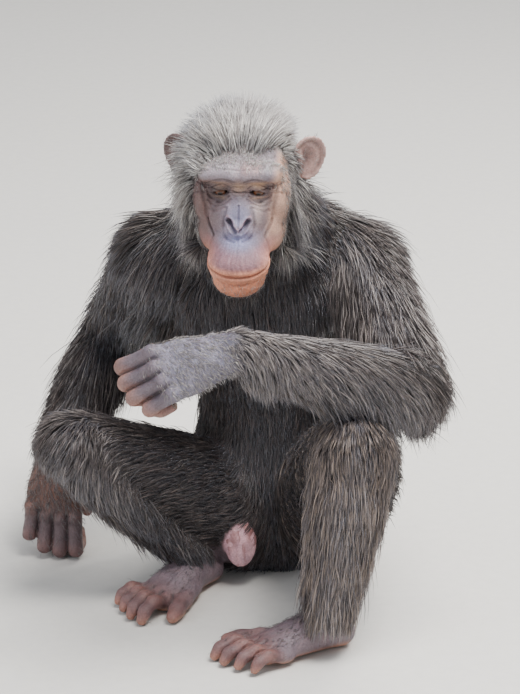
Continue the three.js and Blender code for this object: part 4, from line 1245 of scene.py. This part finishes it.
# Colours of the skin, painted on its points
skinColours = {
    # The line colour is painted shade, laid in creases, nostrils, the mouth slit and the clefts between the
    # digits
    "furred": srgb(52, 46, 47), "scalp": srgb(168, 162, 160), "line": srgb(52, 42, 44),
    # The socket colour is painted shade round the eyes
    "face": srgb(118, 102, 106), "brow": srgb(150, 142, 152), "socket": srgb(70, 56, 54),
    # The lid ochre is the lids' own colour and partly painted highlight; the pale colour beside it is a
    # painted highlight
    "lid": srgb(176, 144, 118), "lidHighlight": srgb(186, 168, 164), "nose": srgb(132, 130, 156),
    "lilac": srgb(140, 142, 182), "upperLip": srgb(132, 96, 104), "lips": srgb(220, 148, 116),
    # The two cheek colours are lit and shaded copies of one skin: painted light on the left cheek, painted
    # shade on the right
    "chin": srgb(206, 132, 100), "litCheekLeft": srgb(192, 156, 138), "shadedCheekRight": srgb(108, 86, 84),
    # The two darker ear colours are painted shade: over the right ear, and in each ear's hollow and groove
    "ear": srgb(190, 158, 152), "earShade": srgb(72, 60, 62), "earHollowShade": srgb(104, 80, 76),
    # The left hand's colour is its skin painted lighter and bluer for the light on it, partly painted light
    "hand": srgb(122, 120, 138), "handRight": srgb(98, 70, 62), "fingers": srgb(92, 80, 86),
    "fingerTips": srgb(160, 112, 100), "foot": srgb(116, 102, 110), "toes": srgb(106, 82, 84),
    "sole": srgb(166, 124, 106), "pink": srgb(216, 172, 182), "pinkDeep": srgb(146, 100, 98),
}


def paint(colour, name, share):
    share = np.clip(share, 0, 1)[:, None]
    return mix(colour, skinColours[name], share)


# Soft patches on the face in the order of painting: colour, then strength, place and radii of each
facePatches = [
    # The first patch, the lips' orange on the forehead left of the middle, is a painted highlight
    ("lips", (0.28, (9, -84, 58), (8, 20, 9)), (0.28, (24, -80, 60), (7, 20, 8))),
    # The socket patches are painted shade: round both eyes, heavier round the right eye, and under the brow
    # between them
    ("socket", (1.2, (-27, -80, 19), (19, 16, 14))),
    # The lid patches are the lids' own ochre, painted stronger on the left eye and between the eyes as
    # painted highlight
    ("lid", (0.5, (-27, -80, 33), (14, 12, 5))),
    ("lid", (0.3, (-26, -81, 13.5), (10, 12, 2))),
    ("socket", (0.8, (27, -80, 19), (19, 16, 11))),
    ("lid", (1.1, (27, -80, 33), (14, 12, 5))),
    ("lid", (0.8, (26, -81, 13.5), (10, 12, 2))),
    # A painted highlight under the left eye and beside the nose
    ("lidHighlight", (0.75, (28, -84, 3), (17, 14, 8)), (0.5, (22, -92, -12), (10, 12, 14))),
    ("lid", (0.8, (0, -80, 29), (9, 12, 8))),
    ("socket", (0.7, (0, -84, 17), (8, 12, 6))),
    ("nose", (1.3, (0, -104, -4), (18, 22, 20))),
]


def paintFace(colour, h):
    x, z = h[:, 0], h[:, 2]
    front = faceShare(h)
    c = paint(colour, "face", front)
    # Painted light on the left cheek and painted shade on the right cheek
    c = paint(c, "litCheekLeft", front * step(34, 50, x - 0.1 * z))
    c = paint(c, "shadedCheekRight", front * step(34, 48, -x) * fall(30, 50, z))
    c = paint(c, "brow", 0.8 * front * step(36, 48, z) * fall(40, 56, x))
    for name, *spots in facePatches:
        c = paint(c, name, sum(strength * spot(h, at, radii) for strength, at, radii in spots))
    muzzle = front * step(58, 102, -h[:, 1])
    c = paint(c, "upperLip", 0.9 * muzzle * fall(-48, -36, z))
    c = paint(c, "lilac", 1.1 * spot(h, (0, -118, -33), (23, 22, 11)))
    c = paint(c, "lips", 0.85 * muzzle * fall(-68, -58, z))
    c = paint(c, "lips", 0.6 * muzzle * step(20, 46, np.abs(x)) * fall(-66, -34, z))
    c = paint(c, "chin", 0.7 * muzzle * fall(-86, -76, z))
    both = mirrored(h)
    # Painted shade: the creases, the nostrils and the mouth slit painted dark
    for path, half, depth in faceCreases:
        c = paint(c, "line", 0.28 * depth * front * hump(offPath(both, path, 16), 0, 1.1 * half))
    for path, half, depth in middleCreases:
        c = paint(c, "line", 0.38 * depth * front * hump(offPath(h, path, 16), 0, half))
    c = paint(c, "line", 0.95 * hump(offPath(both, nostrilLine, 12), 0, 3.0))
    c = paint(c, "pinkDeep", 0.7 * hump(offPath(both, noseEdge, 12), 0, 1.8))
    return paint(c, "line", 0.75 * front * hump(offPath(both, mouthLine, 24), 0, 1.7))


def paintEars(colour, h):
    turn, size = math.radians(earSize["turn"]), earSize
    u = (np.abs(h[:, 0]) - size["at"][0]) * math.cos(turn) + (h[:, 1] - size["at"][1]) * math.sin(turn)
    u, v = u / size["wide"], (h[:, 2] - size["at"][2]) / size["high"]
    hollow = np.exp(-((u + 0.3) / 0.42) ** 2 - ((v + 0.1) / 0.5) ** 2)
    groove = 0.7 * hump(np.hypot(u + 0.05, v), 0.74, 0.09)
    c = paint(colour, "ear", earShare(h))
    # Painted shade: the right ear darker, and the hollow and the groove inside the rim darker
    c = paint(c, "earShade", 0.8 * earShare(h) * step(0, 1, -h[:, 0]))
    return paint(c, "earHollowShade", 0.85 * earShare(h) * (hollow + groove))


def paintDigits(colour, p, part):
    c = colour
    for each in part["digits"]:
        c = paint(c, "fingerTips", 0.5 * around(p, each["line"][2], 12))
        c = paint(c, "fingerTips", 0.7 * around(p, each["tip"], 12))
    lines = [each["line"][1:] for each in part["digits"]]
    # Painted shade in the clefts between the digits
    return paint(c, "line", 0.85 * betweenDigits(p, part, lines, 2.4, (8, 16)))


def paintSkin():
    p = getPoints(skin.data)
    h = toHead(p)
    colour = np.tile(skinColours["furred"], (len(p), 1))
    near = np.linalg.norm(h, axis=1) < 220
    colour[near] = paintFace(colour[near], h[near])
    scalp = step(10, 50, h[:, 2]) * fall(20, 90, h[:, 1]) * (1 - faceShare(h))
    colour = paint(colour, "scalp", 0.9 * scalp * (np.linalg.norm(h, axis=1) < 160))
    colour = paintEars(colour, h)
    # Partly painted light: the left hand's tone is lighter and bluer than the right hand's
    for hand, tone in ((handLeft, "hand"), (handRight, "handRight")):
        q = p - hand["wrist"]
        share = handShare(p, hand)
        colour = paint(colour, tone, share)
        colour = paint(colour, "fingers", share * step(80, 118, q @ hand["along"]) * 0.85)
        colour = paint(colour, "sole", share * step(8, 24, q @ hand["palm"]) * 0.5)
    for foot in (footLeft, footRight):
        share = footShare(p, foot)
        colour = paint(colour, "foot", share)
        colour = paint(colour, "toes", share * step(95, 125, (p - foot["heel"]) @ foot["along"]))
        colour = paint(colour, "sole", share * fall(6, 16, p[:, 2]))
    for part in handsAndFeet:
        near = np.nonzero(digitShare(p, part, 24))[0]
        colour[near] = paintDigits(colour[near], p[near], part)
    colour = paint(colour, "pink", pinkShare(p))
    setColours(skin.data, "skinColour", colour)


def skinMaterial(name, roughness=0.5):
    material, shader = newMaterial(name, roughness, 0.45)
    place = objectPlace(material)
    colour = addNode(material, "Attribute", {}, attribute_name="skinColour").outputs["Color"]
    blotches = noiseNode(material, place, 55)
    blotches = rampNode(material, blotches, 0.3, 0.7, (0.72, 0.70, 0.72), (1.25, 1.2, 1.15))
    speckles = noiseNode(material, place, 420, 3)
    speckles = rampNode(material, speckles, 0.35, 0.62, (0.70, 0.66, 0.64), (1.1, 1.1, 1.1))
    warp = mixNode(material, "ADD", place, noiseNode(material, place, 120, 2, "Color"), 0.012)
    folds = edgeNode(material, warp, 190)
    foldTone = rampNode(material, folds, 0.0, 0.16, (0.62, 0.58, 0.58), (1, 1, 1))
    for tone, share in ((blotches, 0.8), (speckles, 0.6), (foldTone, 0.25)):
        colour = mixNode(material, "MULTIPLY", colour, tone, share)
    plug(material, colour, shader.inputs["Base Color"])
    foldLines = rampNode(material, folds, 0.0, 0.16, (0, 0, 0), (1, 1, 1))
    fineLines = rampNode(material, edgeNode(material, place, 480), 0.0, 0.18, (0, 0, 0), (1, 1, 1))
    normal = bumpNode(material, noiseNode(material, place, 130, 6), 0.5, 0.0016)
    normal = bumpNode(material, foldLines, 0.3, 0.0008, normal)
    normal = bumpNode(material, fineLines, 0.35, 0.0006, normal)
    plug(material, normal, shader.inputs["Normal"])
    shine = noiseNode(material, place, 90)
    shine = rampNode(material, shine, 0.3, 0.7, (0.42, 0.42, 0.42), (0.62, 0.62, 0.62))
    plug(material, shine, shader.inputs["Roughness"])
    shader.inputs["Subsurface Weight"].default_value = 0.08
    shader.inputs["Subsurface Scale"].default_value = 0.004
    return material


paintSkin()
skin.data.materials.append(skinMaterial("bareSkin"))
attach(skin, "root")
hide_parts("hand_left", "hand_right", "foot_left", "foot_right", "head", "ear_left", "ear_right")
print("skin painted")

# Eyes: a wet ball with a brown iris round a dark pupil, looking a little downwards
eyeLook = {"iris": 0.62, "down": 12, "cornea": 0.9}
# From the middle of the pupil outwards: place and colour
eyeRings = [
    (0.0, (4, 3, 3)), (0.105, (6, 4, 3)), (0.12, (64, 34, 18)), (0.22, (98, 56, 32)), (0.29, (60, 32, 18)),
    (0.32, (26, 16, 12)), (0.45, (44, 26, 20)),
]


def eyePiece(name, node, side):
    gaze = turnMatrix(90 + eyeLook["down"], 0)
    at = vec(side * eye["side"], eye["front"], eye["height"])
    piece = ball(name, segments=64)
    p = getPoints(piece.data)
    aside = np.hypot(p[:, 0], p[:, 1])
    aside = np.where(p[:, 2] > 0, aside, 2 - aside)
    bulge = eyeLook["cornea"] * fall(0.2, eyeLook["iris"] + 0.06, aside)
    local = p * (eye["radius"] + bulge)[:, None]
    setPoints(piece.data, toWorld(local @ gaze.T + at))
    values = piece.data.attributes.new("aside", "FLOAT", "POINT")
    values.data.foreach_set("value", (aside / 2).astype(np.float32))
    shadeSmooth(piece)
    piece.data.materials.append(eyeFinish)
    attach(piece, "root")
    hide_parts(node)


def eyeMaterial():
    material, shader = newMaterial("wetEye", 0.2, 0.4)
    aside = addNode(material, "Attribute", {}, attribute_name="aside").outputs["Fac"]
    rings = addNode(material, "ValToRGB", {"Fac": aside})
    elements = rings.color_ramp.elements
    for i, (at, colour) in enumerate(eyeRings):
        element = elements[i] if i < len(elements) else elements.new(at)
        element.position = at
        element.color = (*srgb(*colour), 1)
    streaks = noiseNode(material, objectPlace(material), 900)
    streaks = rampNode(material, streaks, 0.3, 0.7, (0.6, 0.6, 0.6), (1.3, 1.3, 1.3))
    colour = mixNode(material, "MULTIPLY", rings.outputs["Color"], streaks, 0.7)
    plug(material, colour, shader.inputs["Base Color"])
    shader.inputs["Coat Weight"].default_value = 0.12
    shader.inputs["Coat Roughness"].default_value = 0.05
    return material


eyeFinish = eyeMaterial()
eyePiece("eyeball_left", "eye_left", 1)
eyePiece("eyeball_right", "eye_right", -1)

# Nails: a thin curved plate on the back of each fingertip and toe, with a free front edge
nailSize = {"long": 1.05, "wide": 0.86, "thick": 0.13, "sink": 0.16, "back": 0.45}


def nailPiece(each):
    piece = ball("nail", segments=24)
    p = getPoints(piece.data)
    r = each["radius"]
    u = np.sign(p[:, 0]) * np.abs(p[:, 0]) ** 0.8
    v = np.sign(p[:, 1]) * np.abs(p[:, 1]) ** 0.8
    bend = -0.42 * u ** 2 - 0.18 * np.maximum(v, 0) ** 2
    w = bend + p[:, 2] * nailSize["thick"]
    local = np.outer(u * nailSize["wide"], each["across"]) + np.outer(v * nailSize["long"], each["along"])
    local = local + np.outer(w + 1 - nailSize["sink"], each["back"]) - each["along"] * nailSize["back"]
    setPoints(piece.data, each["tip"] + local * r)
    return piece


def nailMaterial():
    material, shader = newMaterial("nail", 0.35)
    place = objectPlace(material)
    tone = rampNode(material, noiseNode(material, place, 160), 0.3, 0.7, srgb(70, 52, 46), srgb(136, 112, 98))
    plug(material, tone, shader.inputs["Base Color"])
    ridges = noiseNode(material, place, 700, 2)
    plug(material, bumpNode(material, ridges, 0.25, 0.0005), shader.inputs["Normal"])
    return material


nails = joinPieces([nailPiece(each) for part in handsAndFeet for each in part["digits"]], "nails")
shadeSmooth(nails)
nails.data.materials.append(nailMaterial())
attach(nails, "root")


# The pink bare skin between the thighs: a soft fold with wrinkles
def pinkPiece():
    piece = ball("pink_skin", segments=64)
    p = getPoints(piece.data)
    x, z = p[:, 0], p[:, 2]
    wrinkle = (0.026 * np.sin(9 * z + 2.4 * np.sin(3 * x)) + 0.022 * np.sin(13 * x + 3 * z)
               + 0.018 * np.sin(21 * z - 5 * x))
    fold = -0.16 * hump(x - 0.1 * np.sin(4 * z), 0, 0.12) * (p[:, 1] < 0)
    p *= (1 + wrinkle + fold)[:, None]
    p[:, 0] *= 0.86 + 0.08 * np.sin(2.2 * p[:, 2] + 0.6)
    setPoints(piece.data, pinkSkin["at"] + p * (pinkSkin["radii"] * vec(1.02, 0.98, 0.96)))
    mottle = 0.35 + 0.4 * np.sin(5 * z + 3 * np.sin(4 * x)) * np.sin(6 * x + 1)
    deep = mottle + 0.5 * step(0.55, 0.85, np.abs(x)) + 0.6 * step(0.3, 0.9, z)
    setColours(piece.data, "skinColour", paint(np.tile(skinColours["pink"], (len(p), 1)), "pinkDeep", deep))
    shadeSmooth(piece)
    piece.data.materials.append(skinMaterial("pinkSkin", roughness=0.4))
    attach(piece, "root")
    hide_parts("rump_skin")


pinkPiece()
print("eyes, nails and pink skin made")

# Floor, light and camera
stageSize = {"half": 6.0, "tone": srgb(214, 211, 206)}
bpy.ops.mesh.primitive_plane_add(size=2 * stageSize["half"], location=(0, 0, 0))
floor = bpy.context.object
floor.name = "floor"
floorFinish, shader = newMaterial("paleFloor", 0.8, 0.2)
tone = stageSize["tone"]
grain = noiseNode(floorFinish, objectPlace(floorFinish), 60)
grain = rampNode(floorFinish, grain, 0.3, 0.7, tone * 0.97, tone * 1.02)
plug(floorFinish, grain, shader.inputs["Base Color"])
floor.data.materials.append(floorFinish)

world = bpy.data.worlds.new("studio")
bpy.context.scene.world = world
world.use_nodes = True
world.node_tree.nodes["Background"].inputs["Color"].default_value = (0.86, 0.90, 0.96, 1)
world.node_tree.nodes["Background"].inputs["Strength"].default_value = 0.72

photoView = {"target": (0.021, -0.150, 0.382), "pitch": 20, "far": 5.0, "lens": 185.26}
target = Vector(photoView["target"])


def aimed(piece, at, towards):
    piece.location = at
    piece.rotation_mode = "QUATERNION"
    piece.rotation_quaternion = (Vector(towards) - Vector(at)).to_track_quat("-Z", "Y")
    bpy.context.collection.objects.link(piece)


def softLight(name, at, size, power, colour):
    light = bpy.data.lights.new(name, "AREA")
    light.size = size
    light.energy = power
    light.color = colour
    aimed(bpy.data.objects.new(name, light), at, target)


softLight("skyLight", (0.9, -1.0, 3.6), 1.8, 250, (1.0, 0.98, 0.95))
softLight("fillLight", (-2.6, -2.2, 1.6), 2.0, 45, (0.92, 0.95, 1.0))
softLight("rimLight", (1.4, 1.6, 3.2), 1.6, 150, (1.0, 0.98, 0.95))

cameraData = bpy.data.cameras.new("photoCamera")
cameraData.lens = photoView["lens"]
cameraData.sensor_width = 36
pitch = math.radians(photoView["pitch"])
camera = bpy.data.objects.new("photoCamera", cameraData)
aimed(camera, target + Vector((0, -math.cos(pitch), math.sin(pitch))) * photoView["far"], target)
bpy.context.scene.camera = camera
print("studio set")
